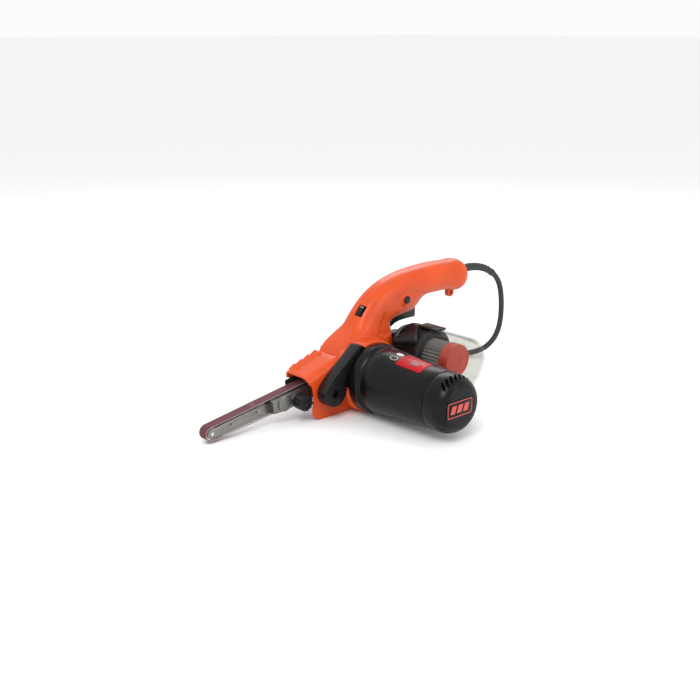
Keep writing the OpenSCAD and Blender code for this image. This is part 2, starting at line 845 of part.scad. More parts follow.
module dust_cup() {
  depth = cup_start_y - cup_end_y;
  color([0.85, 0.88, 0.88, 0.4]) place() turned_y(can_x, can_z, cup_start_y) polygon([
    [cup_r - cup_wall, 0], [cup_r, 0], [cup_r, depth - 5], [cup_r - 1.5, depth - 1.5],
    [cup_r - 4.5, depth], [0, depth], [0, depth - cup_wall], [cup_r - 5, depth - cup_wall],
    [cup_r - 2.8, depth - 3.2], [cup_r - cup_wall, depth - 6]
  ]);
}

filter_end_y = -100.5;
filter_cap_l = 13;
module filter_frame() {
  color(black) place() {
    ring_y(can_x, can_z, -59.8, -56, cup_r - 2.7, filter_r - 6);
    ring_y(can_x, can_z, -56, -30, filter_r - 4, filter_r - 6);
  }
}

module filter_pleats() {
  outer = [for (i = [0 : 2 * pleats - 1])
    let (r = i % 2 == 0 ? filter_r : filter_r - 4, a = 180 * i / pleats) [r * cos(a), r * sin(a)]];
  inner = [for (p = outer) p * (1 - 1.2 / norm(p))];
  color([0.9, 0.9, 0.88]) place() translate([can_x, 0, can_z]) slab(filter_end_y + filter_cap_l, -60) difference() {
    polygon(outer);
    polygon(inner);
  }
}

module filter_cap() {
  color(orange) place() turned_y(can_x, can_z, filter_end_y + filter_cap_l) polygon([
    [0, 0], [filter_r + 1, 0], [filter_r + 1, filter_cap_l - 1], [filter_r, filter_cap_l], [0, filter_cap_l]
  ]);
}

// ---- Mains cord ----
exit_z = 89.5;
boot_points = [
  [173, -6, 89.5], [183, -6, 89.5], [194, -6, 90], [206, -6, 89], [218, -6, 86.5],
  [230, -6, 82], [241, -6, 75.5]
];
boot_radii = [5.6, 5.6, 5.4, 5.1, 4.9, 4.6, 4.4];
module strain_relief() {
  n = len(boot_points);
  color(black) place() skin([for (i = [0 : n - 1]) sweep_ring(boot_points, i, boot_radii[i], 16)]);
}

// Route of the cord's middle, from the strain relief to the coil
cord_route = [
  [241, -6, 75.5], [248, -6, 69.5], [254, -6, 61.5], [258, -6, 51.5], [260.5, -6, 39.5],
  [261.5, -6, 26.5], [261.5, -5.5, 12.5], [260, -4, -1.5], [255.5, -0.5, -15.5], [247, 6.5, -27.5],
  [235, 16.5, -34], [221, 27.5, -35.8], [206, 38.5, -35.8], [191, 49.5, -35.8], [176, 60.5, -35.8],
  [161, 72.5, -35.8], [146, 85, -35.8], [131, 96.5, -35.8]
];
module power_cord() {
  path = spline(cord_route, 2);
  color(black) place() skin([for (i = [0 : len(path) - 1]) sweep_ring(path, i, cord_d / 2, 8)]);
}

coil_x = 92;
coil_y = 67.5;
coil_inner = 28;
coil_outer = 49;
coil_h = 28;
module cord_coil() {
  color(black) place() translate([coil_x, coil_y, base_z]) rotate_extrude($fn = 64)
    translate([coil_inner, 0]) square([coil_outer - coil_inner, coil_h]);
}

// The plug lies on top of the coil, its length along the turns
plug_turn = 55;
plug_r = (coil_inner + coil_outer) / 2;
module on_coil() {
  translate([coil_x, coil_y, base_z + coil_h]) rotate([0, 0, plug_turn]) children();
}
module plug_body() {
  color(black) place() on_coil() block([plug_r - 17, -16, 0], [plug_r + 17, 16, 18]);
}
module plug_pins() {
  color(steel) place() on_coil() for (s = [-1, 1]) translate([plug_r + 9.5 * s, 16, 9])
    rotate([-90, 0, 0]) cylinder(r = pin_r, h = pin_len, $fn = 32);
}

module cord_clamp() {
  color(black) place() {
    difference() {
      block([154, mid_y - 9, exit_z - 8], [162, mid_y + 9, exit_z + 1]);
      translate([150, mid_y, exit_z]) rotate([0, 90, 0]) cylinder(r = 3.6, h = 30, $fn = 32);
    }
  }
}

body_left();
body_right();
nose_shroud();
belt_guard();
housing_screws();
motor_housing();
motor_end_cap();
badge_plate();
rating_label();
motor_screws();
stator_core();
field_coils();
armature_core();
armature_windings();
commutator();
motor_shaft();
cooling_fan();
front_bearing();
rear_bearing();
brush_holders();
carbon_brushes();
drive_roller();
abrasive_belt();
arm_casting();
front_arm();
platen();
arm_rivets();
tip_axle();
tip_roller();
tension_spring();
tracking_knob();
tracking_screw();
tension_lever();
lever_shaft();
lever_screw();
trigger();
trigger_spring();
switch_body();
lock_button();
speed_wheel();
speed_module();
cord_clamp();
strain_relief();
power_cord();
cord_coil();
plug_body();
plug_pins();
dust_duct();
canister_base();
canister_latch();
cup_seal();
dust_cup();
filter_frame();
filter_pleats();
filter_cap();
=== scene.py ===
from contextlib import contextmanager
from math import asin, atan2, copysign, cos, degrees, hypot, pi, radians, sin, sqrt

import bmesh
import bpy
import numpy as np
from mathutils import Matrix, Vector


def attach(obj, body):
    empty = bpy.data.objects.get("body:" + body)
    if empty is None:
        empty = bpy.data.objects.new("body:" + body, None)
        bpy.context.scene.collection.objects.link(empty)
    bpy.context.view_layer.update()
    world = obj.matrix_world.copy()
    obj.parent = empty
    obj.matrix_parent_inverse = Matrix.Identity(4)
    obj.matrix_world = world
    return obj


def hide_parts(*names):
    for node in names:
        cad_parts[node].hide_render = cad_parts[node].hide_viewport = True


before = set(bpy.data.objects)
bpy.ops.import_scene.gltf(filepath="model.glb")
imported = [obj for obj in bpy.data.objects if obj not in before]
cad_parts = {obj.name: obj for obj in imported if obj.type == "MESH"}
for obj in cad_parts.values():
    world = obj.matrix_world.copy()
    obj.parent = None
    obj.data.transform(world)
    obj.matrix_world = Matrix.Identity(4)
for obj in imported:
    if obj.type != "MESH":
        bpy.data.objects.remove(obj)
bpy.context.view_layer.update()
scene = bpy.context.scene

# Lengths below are millimetres about the drive roller's axis at the middle of the belt.
# OFFSET carries them into the part's own frame.
OFFSET = Vector((9.0, 81.4, 39.5))
PITCH = radians(8.5)    # the arm's slope, down towards the tip
MID = -6.0              # y of the plane where the two shells meet
SIDE = -27.0            # y of the body's near flank
BASE = -39.5            # z of the floor
SOFT_ANGLE = 32         # edges that bend less than this many degrees are shaded smooth
WELD = 1e-6             # metres


def row(p):
    """Drive-frame millimetres into the part's frame in metres."""
    return (Vector(p) + OFFSET) * 0.001


def drive(p):
    """The part's frame in metres back into drive-frame millimetres."""
    return p * 1000 - OFFSET


def arm(p):
    """A point along the sloping arm, in drive-frame millimetres."""
    x, y, z = p
    return Vector((x * cos(PITCH) - z * sin(PITCH), y, x * sin(PITCH) + z * cos(PITCH)))


def arc(cx, cz, r, start, sweep, steps):
    """Points on a circle from start through sweep degrees, both ends included."""
    angles = [radians(start + sweep * k / steps) for k in range(steps + 1)]
    return [(cx + r * cos(a), cz + r * sin(a)) for a in angles]


def around(sides):
    """Angles all the way round a circle."""
    return [2 * pi * k / sides for k in range(sides)]


def squared(value, power):
    """A sine or cosine bent so that a round section turns towards a square one."""
    return copysign(abs(value) ** power, value)


# --- mesh tools
def add(name, data):
    obj = bpy.data.objects.new(name, data)
    scene.collection.objects.link(obj)
    return obj


@contextmanager
def editing(mesh):
    bm = bmesh.new()
    bm.from_mesh(mesh)
    yield bm
    bm.to_mesh(mesh)
    bm.free()


def piece(name, verts, faces, smooth=True, angle=SOFT_ANGLE, local=None):
    mesh = bpy.data.meshes.new(name)
    mesh.from_pydata([row(local(v) if local else v) for v in verts], [], faces)
    obj = add(name, mesh)
    tidy(obj, smooth, angle)
    return obj


def tidy(obj, smooth=True, angle=SOFT_ANGLE, weld=True):
    """Welds, turns the faces outwards and shades smooth up to an angle."""
    if weld:
        with editing(obj.data) as bm:
            bmesh.ops.remove_doubles(bm, verts=bm.verts, dist=WELD)
            bmesh.ops.recalc_face_normals(bm, faces=bm.faces)
    if smooth:
        obj.data.polygons.foreach_set("use_smooth", [True] * len(obj.data.polygons))
        obj.data.set_sharp_from_angle(angle=radians(angle))


def apply(obj):
    """Turns an object's modifiers into its mesh."""
    graph = bpy.context.evaluated_depsgraph_get()
    mesh = bpy.data.meshes.new_from_object(obj.evaluated_get(graph))
    old = obj.data
    obj.modifiers.clear()
    obj.data = mesh
    mesh.name = obj.name
    if old.users == 0:
        bpy.data.meshes.remove(old)


def bevel(obj, width, segments=3, angle=30):
    mod = obj.modifiers.new("bevel", "BEVEL")
    mod.width = width * 0.001
    mod.segments = segments
    mod.limit_method = "ANGLE"
    mod.angle_limit = radians(angle)
    mod.harden_normals = False
    apply(obj)
    tidy(obj)


def drop(obj):
    mesh = obj.data
    bpy.data.objects.remove(obj)
    if mesh.users == 0:
        bpy.data.meshes.remove(mesh)


def boolean(obj, other, operation="DIFFERENCE", angle=SOFT_ANGLE):
    """Cuts obj with other, or joins them, and uses other up."""
    mod = obj.modifiers.new("cut", "BOOLEAN")
    mod.operation = operation
    mod.solver = "MANIFOLD"
    mod.object = other
    apply(obj)
    drop(other)
    tidy(obj, True, angle, weld=False)


def join(name, objects):
    """One object from several that don't touch, or that may overlap as a cutter."""
    mesh = bpy.data.meshes.new(name)
    with editing(mesh) as bm:
        for o in objects:
            bm.from_mesh(o.data)
            drop(o)
    obj = add(name, mesh)
    tidy(obj)
    return obj


def block(name, low, high, turn=None, about=(0, 0, 0)):
    """A box between two corners, which may be turned about a line along Y."""
    x0, y0, z0 = low
    x1, y1, z1 = high
    verts = [(x, y, z) for x in (x0, x1) for y in (y0, y1) for z in (z0, z1)]
    if turn is not None:
        c, s = cos(radians(turn)), sin(radians(turn))
        ax, ay, az = about
        verts = [(ax + x * c + z * s, ay + y, az - x * s + z * c) for x, y, z in verts]
    faces = [(0, 1, 3, 2), (4, 6, 7, 5), (0, 4, 5, 1), (2, 3, 7, 6), (0, 2, 6, 4), (1, 5, 7, 3)]
    return piece(name, verts, faces, False)


def prism(name, start, end, angle=SOFT_ANGLE, local=None):
    """A solid between two loops with the same count of points."""
    n = len(start)
    faces = [tuple(range(n)), tuple(range(2 * n - 1, n - 1, -1))]
    faces += [(i, (i + 1) % n, n + (i + 1) % n, n + i) for i in range(n)]
    return piece(name, start + end, faces, True, angle, local)


def slab(name, outline, y0, y1, local=None, angle=SOFT_ANGLE):
    """A flat outline of (x, z) points, drawn from y0 to y1."""
    return prism(name, *[[(x, y, z) for x, z in outline] for y in (y0, y1)], angle, local)


def skin(name, rings, closed=False, local=None):
    """A solid through loops with the same count of points. closed joins the last to the first."""
    n, m = len(rings[0]), len(rings)
    faces = []
    for i in range(m if closed else m - 1):
        j = (i + 1) % m
        faces += [(i * n + k, i * n + (k + 1) % n, j * n + (k + 1) % n, j * n + k) for k in range(n)]
    if not closed:
        faces += [tuple(range(n - 1, -1, -1)), tuple((m - 1) * n + k for k in range(n))]
    return piece(name, [p for ring in rings for p in ring], faces, local=local)


def lathe(name, profile, x=0.0, z=0.0, y=0.0, sides=96, closed=False, local=None, angle=SOFT_ANGLE):
    """A turned piece about an axis along -Y: profile is (radius, distance towards -Y).
    closed joins the profile's last point to its first, for a ring."""
    verts, rings = [], []
    for r, s in profile:
        if r == 0:
            rings.append([len(verts)])
            verts.append((x, y - s, z))
        else:
            rings.append(list(range(len(verts), len(verts) + sides)))
            verts += [(x + r * cos(a), y - s, z + r * sin(a)) for a in around(sides)]
    faces = []
    pairs = list(zip(rings, rings[1:])) + ([(rings[-1], rings[0])] if closed else [])
    for a, b in pairs:
        for k in range(sides):
            k2 = (k + 1) % sides
            if len(a) == 1 and len(b) > 1:
                faces.append((a[0], b[k2], b[k]))
            elif len(b) == 1 and len(a) > 1:
                faces.append((a[k], a[k2], b[0]))
            elif len(a) > 1:
                faces.append((a[k], a[k2], b[k2], b[k]))
    return piece(name, verts, faces, True, angle, local)


def rod(name, x, z, y0, y1, r, sides=32):
    """A plain cylinder along Y."""
    return lathe(name, [(0, 0), (r, 0), (r, y1 - y0), (0, y1 - y0)], x, z, y1, sides)


def bush(r0, r1, depth, x, z, y, sides):
    """A plain ring about an axis along Y, from y towards -Y."""
    return lathe("bush", [(r0, 0), (r1, 0), (r1, depth), (r0, depth)], x, z, y, sides, closed=True)


def tube(name, path, radii, sides):
    """A round tube along drive-frame points, with one radius a point."""
    pts = [Vector(p) for p in path]
    rings = []
    normal = Vector((0, 1, 0))
    for i, p in enumerate(pts):
        t = (pts[min(i + 1, len(pts) - 1)] - pts[max(i - 1, 0)]).normalized()
        normal = (normal - t * normal.dot(t)).normalized()
        side = t.cross(normal)
        rings.append([p + (normal * cos(a) + side * sin(a)) * radii[i] for a in around(sides)])
    return skin(name, rings)


def smooth_path(points, steps):
    """A Catmull-Rom curve through rows of numbers, with steps points a span."""
    p = [np.array(q, float) for q in points]
    out = []
    for i in range(len(p) - 1):
        a, b, c, d = p[max(i - 1, 0)], p[i], p[i + 1], p[min(i + 2, len(p) - 1)]
        for k in range(steps):
            t = k / steps
            square = 2 * a - 5 * b + 4 * c - d
            cube = 3 * b - a - 3 * c + d
            out.append(0.5 * (2 * b + (c - a) * t + square * t * t + cube * t ** 3))
    out.append(p[-1])
    return out


# --- materials
def rgb(r, g, b):
    """Colour as seen on screen, 0 to 255, turned into the linear values that nodes take."""
    def lin(v):
        v /= 255.0
        return v / 12.92 if v <= 0.04045 else ((v + 0.055) / 1.055) ** 2.4
    return (lin(r), lin(g), lin(b), 1.0)


class Nodes:
    def __init__(self, name):
        self.mat = bpy.data.materials.new(name)
        self.mat.use_nodes = True
        self.tree = self.mat.node_tree
        self.tree.nodes.clear()
        self.out = self.tree.nodes.new("ShaderNodeOutputMaterial")
        self.coord = self.tree.nodes.new("ShaderNodeTexCoord")

    def add(self, kind, inputs=None, **settings):
        node = self.tree.nodes.new(kind)
        for key, value in settings.items():
            setattr(node, key, value)
        for key, value in (inputs or {}).items():
            if isinstance(value, bpy.types.NodeSocket):
                self.tree.links.new(value, node.inputs[key])
            else:
                node.inputs[key].default_value = value
        return node

    def place(self, scale=(1, 1, 1)):
        return self.add("ShaderNodeMapping", {"Vector": self.coord.outputs["Object"], "Scale": scale}).outputs[0]

    def noise(self, scale, detail=3.0, rough=0.5, vector=None, distort=0.0):
        return self.add("ShaderNodeTexNoise", {
            "Vector": vector or self.coord.outputs["Object"], "Scale": scale, "Detail": detail,
            "Roughness": rough, "Distortion": distort,
        }).outputs["Fac"]

    def span(self, fac, low, high, a=0.0, b=1.0):
        return self.add("ShaderNodeMapRange", {
            "Value": fac, "From Min": a, "From Max": b, "To Min": low, "To Max": high,
        }).outputs["Result"]

    def mix(self, fac, a, b):
        # a colour mix takes its two colours at inputs 6 and 7 and gives one at output 2
        return self.add("ShaderNodeMix", {0: fac, 6: a, 7: b}, data_type="RGBA").outputs[2]

    def plus(self, a, b, clamp=False):
        return self.add("ShaderNodeMath", {0: a, 1: b}, operation="ADD", use_clamp=clamp).outputs[0]

    def bump(self, height, strength, distance):
        inputs = {"Height": height, "Strength": strength, "Distance": distance}
        return self.add("ShaderNodeBump", inputs).outputs["Normal"]

    def surface(self, color, rough, normal=None, metallic=0.0, **more):
        inputs = {"Base Color": color, "Roughness": rough, "Metallic": metallic}
        if normal is not None:
            inputs["Normal"] = normal
        for key, value in more.items():
            inputs[key.replace("_", " ")] = value
        shader = self.add("ShaderNodeBsdfPrincipled", inputs)
        self.tree.links.new(shader.outputs[0], self.out.inputs["Surface"])
        return self.mat


def shade(color, k):
    return (color[0] * k, color[1] * k, color[2] * k, 1.0)


def moulded(name, color, rough, depth=0.00003, coat=0.0, shine=0.5):
    """Moulded plastic: spark-eroded grain, slow drifts of gloss and colour, and faint rub marks."""
    n = Nodes(name)
    drift = n.noise(28.0, 3.0, 0.55)
    fine = n.noise(2600.0, 2.0, 0.6)
    rub = n.noise(90.0, 6.0, 0.7, n.place((1.0, 1.0, 3.2)), 0.6)
    base = n.mix(n.span(drift, 0.0, 1.0, 0.35, 0.65), shade(color, 0.94), shade(color, 1.06))
    base = n.mix(n.span(rub, 0.0, 0.10, 0.60, 0.85), base, shade(color, 1.35))
    gloss = n.plus(n.span(drift, rough - 0.05, rough + 0.05, 0.3, 0.7), n.span(rub, -0.03, 0.06, 0.3, 0.8))
    normal = n.bump(fine, 0.35, depth)
    return n.surface(base, gloss, normal, 0.0, Coat_Weight=coat, Coat_Roughness=0.16, Specular_IOR_Level=shine)


def metal(name, color, rough, streak=(1, 1, 1), scale=300.0, depth=0.00002, spread=0.12):
    """Bare metal with tool marks along one direction, stains and a rough bump."""
    n = Nodes(name)
    vector = n.place(streak)
    lines = n.noise(scale, 4.0, 0.65, vector)
    stain = n.noise(60.0, 4.0, 0.6)
    base = n.mix(n.span(stain, 0.0, 1.0, 0.3, 0.7), shade(color, 1.0 - spread), shade(color, 1.0 + spread))
    base = n.mix(n.span(lines, 0.0, 0.5, 0.35, 0.7), base, shade(color, 0.72))
    gloss = n.plus(n.span(lines, rough - 0.08, rough + 0.10, 0.3, 0.7), n.span(stain, -0.04, 0.08, 0.3, 0.7))
    return n.surface(base, gloss, n.bump(lines, 0.5, depth), 1.0)


def rubber_material():
    n = Nodes("cord_rubber")
    drift = n.noise(40.0, 3.0)
    base = n.mix(n.span(drift, 0.0, 1.0, 0.3, 0.7), rgb(24, 24, 26), rgb(40, 40, 43))
    return n.surface(base, n.span(drift, 0.46, 0.62, 0.3, 0.7), n.bump(n.noise(3200.0, 2.0), 0.3, 0.00003))


def abrasive_material():
    """Resin-bonded grit: tightly packed grains with bright facets, darker glue between them, worn patches."""
    n = Nodes("abrasive_grit")
    cells = n.add("ShaderNodeTexVoronoi", {"Vector": n.coord.outputs["Object"], "Scale": 2600.0}, feature="F1")
    wear = n.noise(70.0, 5.0, 0.6, n.place((0.35, 1.0, 0.35)))
    grain = n.noise(3000.0, 2.0)
    base = n.mix(n.span(cells.outputs["Distance"], 0.0, 1.0, 0.1, 0.75), rgb(112, 56, 68), rgb(74, 34, 44))
    base = n.mix(n.span(grain, 0.0, 0.35, 0.55, 0.75), base, rgb(140, 96, 104))
    base = n.mix(n.span(wear, 0.0, 0.4, 0.5, 0.75), base, rgb(66, 34, 42))
    normal = n.bump(cells.outputs["Distance"], 0.7, 0.00018)
    return n.surface(base, n.span(wear, 0.62, 0.82), normal)


def cloth_material():
    n = Nodes("belt_cloth")
    weave = n.add("ShaderNodeTexWave", {"Vector": n.place(), "Scale": 900.0, "Distortion": 0.6})
    base = n.mix(n.span(weave.outputs["Fac"], 0.0, 1.0), rgb(206, 190, 184), rgb(170, 150, 146))
    return n.surface(base, 0.85, n.bump(weave.outputs["Fac"], 0.4, 0.0001))


def paper_material():
    n = Nodes("filter_paper")
    fibre = n.noise(1400.0, 5.0, 0.7)
    dust = n.noise(120.0, 4.0, 0.6)
    base = n.mix(n.span(dust, 0.0, 0.7, 0.4, 0.7), rgb(158, 154, 154), rgb(132, 126, 124))
    return n.surface(base, 0.9, n.bump(fibre, 0.5, 0.00008))


def clear_material():
    """Clear moulded plastic: it lets light through, greys a little, and its rims catch the light."""
    n = Nodes("clear_cup")
    haze = n.noise(45.0, 4.0, 0.6)
    edge = n.add("ShaderNodeLayerWeight", {"Blend": 0.5}).outputs["Facing"]
    body = n.add("ShaderNodeBsdfPrincipled", {
        "Base Color": rgb(122, 124, 124), "Roughness": n.span(haze, 0.05, 0.14, 0.3, 0.7),
        "IOR": 1.5, "Specular IOR Level": 0.7,
    })
    see = n.add("ShaderNodeBsdfTransparent", {"Color": rgb(246, 246, 244)})
    rim = n.span(edge, 0.03, 0.9, 0.66, 1.0)
    fac = n.plus(rim, n.span(haze, 0.0, 0.05, 0.3, 0.7), True)
    mixed = n.add("ShaderNodeMixShader", {0: fac, 1: see.outputs[0], 2: body.outputs[0]})
    n.tree.links.new(mixed.outputs[0], n.out.inputs["Surface"])
    return n.mat


mats = {
    "orange": moulded("orange_shell", rgb(206, 74, 25), 0.34, coat=0.04, shine=0.28),
    "orange_cap": moulded("orange_cap", rgb(196, 66, 44), 0.34, shine=0.3),
    "barrel": moulded("black_barrel", rgb(12, 12, 14), 0.27, depth=0.000006, shine=0.18),
    "black": moulded("black_plastic", rgb(20, 20, 22), 0.36, shine=0.3),
    "black_dull": moulded("black_dull", rgb(24, 24, 26), 0.58, shine=0.2),
    "fan": moulded("fan_plastic", rgb(58, 58, 60), 0.5),
    "resin": moulded("brush_resin", rgb(105, 68, 46), 0.5),
    "board": moulded("circuit_board", rgb(30, 95, 58), 0.4),
    "carbon": moulded("brush_carbon", rgb(50, 50, 52), 0.6),
    "casting": metal("zinc_casting", rgb(134, 133, 130), 0.44, scale=700.0, depth=0.00006, spread=0.10),
    "pressed": metal("pressed_steel", rgb(138, 136, 133), 0.34, (0.15, 1, 1), 1400.0),
    "bright": metal("bright_steel", rgb(205, 206, 208), 0.24, (1, 0.12, 1), 1600.0),
    "dark": metal("dark_steel", rgb(96, 96, 100), 0.40, scale=900.0),
    "lamination": metal("laminations", rgb(120, 120, 124), 0.45, (0.02, 1, 0.02), 1700.0, 0.00008),
    "copper": metal("copper_wire", rgb(190, 112, 66), 0.36, (0.05, 1, 1), 900.0, 0.00015),
    "spring": metal("spring_steel", rgb(165, 165, 168), 0.30, scale=800.0),
    "rubber": rubber_material(),
    "abrasive": abrasive_material(),
    "cloth": cloth_material(),
    "belt_edge": moulded("belt_edge", rgb(150, 122, 120), 0.8),
    "splice": moulded("belt_splice", rgb(86, 46, 56), 0.5),
    "paper": paper_material(),
    "clear": clear_material(),
    "red": moulded("red_label", rgb(168, 0, 16), 0.4, depth=0.000004, shine=0.12),
    "ink": moulded("label_ink", rgb(84, 8, 16), 0.38, depth=0.000004, coat=0.4),
    "pale": moulded("label_pale", rgb(196, 192, 186), 0.4, depth=0.000004, coat=0.3),
    "badge": moulded("badge_ink", rgb(196, 70, 56), 0.42, depth=0.000006),
    # mark: the pale bar on the speed wheel, a painted highlight rather than print
    "mark": moulded("wheel_highlight_bar", rgb(128, 132, 130), 0.5),
}


def paint(obj, mat):
    obj.data.materials.clear()
    obj.data.materials.append(mats[mat])


def dress(obj, mat, body):
    paint(obj, mat)
    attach(obj, body)
    return obj


# --- camera first
def camera():
    yaw, pitch = 0.729632, 0.300637
    look = Vector((sin(yaw) * cos(pitch), cos(yaw) * cos(pitch), -sin(pitch)))
    right = Vector((cos(yaw), -sin(yaw), 0.0))
    up = right.cross(look)
    # where the drive roller's middle stands in the view: right, down and away, in mm
    across, down, away = -2.24309, 20.05994, 1197.61907
    place = -(right * across - up * down + look * away)
    data = bpy.data.cameras.new("photo_camera")
    data.sensor_width = 36.0
    data.lens = 53.4604526
    data.clip_start = 0.05
    data.clip_end = 120.0
    cam = add("photo_camera", data)
    rot = Matrix((right, up, -look)).transposed()
    cam.matrix_world = Matrix.Translation(row(place)) @ rot.to_4x4()
    scene.camera = cam


camera()


# --- mains cord
BOOT = [
    (173, -6, 89.5), (183, -6, 89.5), (194, -6, 90), (206, -6, 89), (218, -6, 86.5), (230, -6, 82), (241, -6, 75.5),
]
ROUTE = [
    (241, -6, 75.5), (248, -6, 69.5), (254, -6, 61.5), (258, -6, 51.5), (260.5, -6, 39.5),
    (261.5, -6, 26.5), (261.5, -5.5, 12.5), (260, -4, -1.5), (255.5, -0.5, -15.5), (247, 6.5, -27.5),
    (235, 16.5, -34), (221, 27.5, -35.8), (206, 38.5, -35.8), (191, 49.5, -35.8), (176, 60.5, -35.8),
    (161, 72.5, -35.8), (146, 85, -35.8), (131, 96.5, -35.8),
]
COIL = (92.0, 67.5)         # x, y of the coil's middle
CORD_LENGTH = 3.0           # metres
CORD_D = 7                  # the cord's thickness
COIL_TOP = BASE + 4 * CORD_D
PLUG_TURN = radians(55.0)   # where round the coil the plug lies
PLUG_R = 38.5               # how far out it lies
PLUG_UP = 9                 # how high its axis is over the coil's top


def on_coil(r, t, h):
    """A point on top of the coil: r out from its middle, t along the turns, h up."""
    c, s = cos(PLUG_TURN), sin(PLUG_TURN)
    return np.array((COIL[0] + c * r - s * t, COIL[1] + s * r + c * t, COIL_TOP + h))


def ease(t):
    return t * t * (3 - 2 * t)


def bridge(p0, d0, p1, d1, reach, steps):
    """A smooth curve from p0 to p1 that leaves along d0 and arrives along d1."""
    pts = []
    for i in range(1, steps + 1):
        t = i / steps
        pts.append((2 * t ** 3 - 3 * t * t + 1) * p0 + (t ** 3 - 2 * t * t + t) * reach * d0
                   + (3 * t * t - 2 * t ** 3) * p1 + (t ** 3 - t * t) * reach * d1)
    return pts


def coil_points(mid):
    """Four layers of three turns, out and in by turns, up to a sixth of a turn short of the plug."""
    start, total = radians(60), radians(360 * 11 - 70 - 60)
    steps = int(total / radians(6))
    pts = []
    for i in range(steps + 1):
        angle = total * i / steps
        turn = int(angle / (2 * pi))
        layer, k = divmod(turn, 3)
        width = 0.5 if k < 2 else 0.3
        shift = ease(max(0.0, (angle / (2 * pi) - turn - 1 + width) / width))
        across = k + (shift if k < 2 else 0)
        radius = mid + CORD_D * ((1 - across) if layer % 2 == 0 else (across - 1))
        z = BASE + 3.7 + CORD_D * (layer + (shift if k == 2 else 0))
        a = start + angle
        pts.append(np.array((COIL[0] + radius * cos(a), COIL[1] + radius * sin(a), z)))
    return pts


def length(*pts):
    return sum(float(np.linalg.norm(b - a)) for a, b in zip(pts, pts[1:]))


def cord_points():
    """The cord's middle line. The coil's radius is set so that the whole is CORD_LENGTH long."""
    route = smooth_path([(183, -6, 89.5)] + BOOT[2:-1] + ROUTE, 3)[:-3]

    def whole(mid):
        turns = coil_points(mid)
        lead = bridge(route[-1], np.array((-0.79, 0.61, 0)), turns[0], np.array((-0.866, 0.5, 0)),
                      length(route[-1], turns[0]), 6)
        way = (turns[-1] - turns[-2]) / length(*turns[-2:])
        foot = on_coil(PLUG_R, -15, PLUG_UP)
        rise = bridge(turns[-1], way, foot, on_coil(0, 1, 0) - on_coil(0, 0, 0),
                      1.55 * length(turns[-1], foot), 16)
        return route + lead[:-1] + turns + rise + [on_coil(PLUG_R, -11, PLUG_UP)]

    low, high = 37.0, 41.0      # the coil's middle radius lies between these
    for _ in range(30):
        mid = (low + high) / 2
        if length(*whole(mid)) < CORD_LENGTH * 1000:
            low = mid
        else:
            high = mid
    return [Vector(p) for p in whole(low)]


def make_cord():
    curve = bpy.data.curves.new("mains_cord", "CURVE")
    curve.dimensions = "3D"
    curve.bevel_depth = 0.0035
    curve.bevel_resolution = 5
    curve.use_fill_caps = True
    path = cord_points()
    spline = curve.splines.new("POLY")
    spline.points.add(len(path) - 1)
    for point, p in zip(spline.points, path):
        point.co = (*row(p), 1.0)
    curve.materials.append(mats["rubber"])
    return add("mains_cord", curve)


cord = make_cord()
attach(cord, "tool_body")
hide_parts("power_cord", "cord_coil")


def make_boot():
    """Tapered strain relief with the usual rings of slots, moulded as ribs and necks."""
    path = smooth_path(BOOT, 8)
    radii = []
    for i in range(len(path)):
        t = i / (len(path) - 1)
        neck = 0.75 if 0.16 < t < 0.93 and i % 4 in (2, 3) else 0.0
        radii.append(5.6 - 1.25 * t - neck)
    return tube("cord_boot", path, radii, 32)


boot = dress(make_boot(), "rubber", "tool_body")
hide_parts("strain_relief")


def make_plug():
    """A flat moulded plug: a broad block at the pins that narrows to a ribbed neck on the cord."""
    # along the coil, half width, half height, squareness
    rows = [
        (16, 15.6, 7.8, 5), (15.4, 16.6, 8.6, 5), (14, 17, 9, 5), (1, 17, 9, 5), (-2, 16.2, 8.8, 4),
        (-5, 13.4, 8.4, 3.4), (-8, 9.8, 7.8, 2.8), (-10.5, 7.4, 7, 2.3), (-11.5, 6.4, 6.2, 2),
        (-12.5, 7.0, 6.8, 2), (-13.5, 6.2, 6.0, 2), (-14.5, 6.6, 6.4, 2), (-16, 5.6, 5.4, 2),
    ]
    rings = []
    for t, wide, high, square in smooth_path(rows, 3):
        ring = []
        for a in around(48):
            r = wide * squared(cos(a), 2 / square)
            h = high * squared(sin(a), 2 / square)
            ring.append(tuple(on_coil(PLUG_R + r, t, PLUG_UP + h)))
        rings.append(ring)
    return skin("mains_plug", rings)


plug = dress(make_plug(), "rubber", "tool_body")
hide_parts("plug_body")


def make_tie():
    """A flat strap round the bundle of turns, with its head on the outside."""
    turn = radians(250)

    def at(r, along, z):
        """A point r out from the coil's middle and z above the floor, at the strap's place."""
        c, sn = cos(turn), sin(turn)
        return (COIL[0] + r * c - along * sn, COIL[1] + r * sn + along * c, BASE + z)

    loops = []
    # the strap's section: along the bundle, and out from its inner face
    for along, out in ((-4, 0.45), (-3.6, 0.7), (3.6, 0.7), (4, 0.45), (4, 0), (3.6, 0), (-3.6, 0), (-4, 0)):
        loop = []
        for a in around(64):
            high = 14.1 + (out if sin(a) > 0 else 0.1 * out)
            r = 39.2 + (10.9 + out) * squared(cos(a), 0.45)
            loop.append(at(r, along, 14.55 + high * squared(sin(a), 0.45)))
        loops.append(loop)
    strap = skin("strap", loops, closed=True)
    head = block("head", (-5.4, -2.4, -3.2), (5.4, 2.4, 3.2))
    for v in head.data.vertices:
        p = drive(v.co)
        v.co = row(at(51.4 + p.y * 0.9, p.x, 14 + p.z))
    tidy(head)
    bevel(head, 0.7, 2)
    return join("cord_tie", [strap, head])


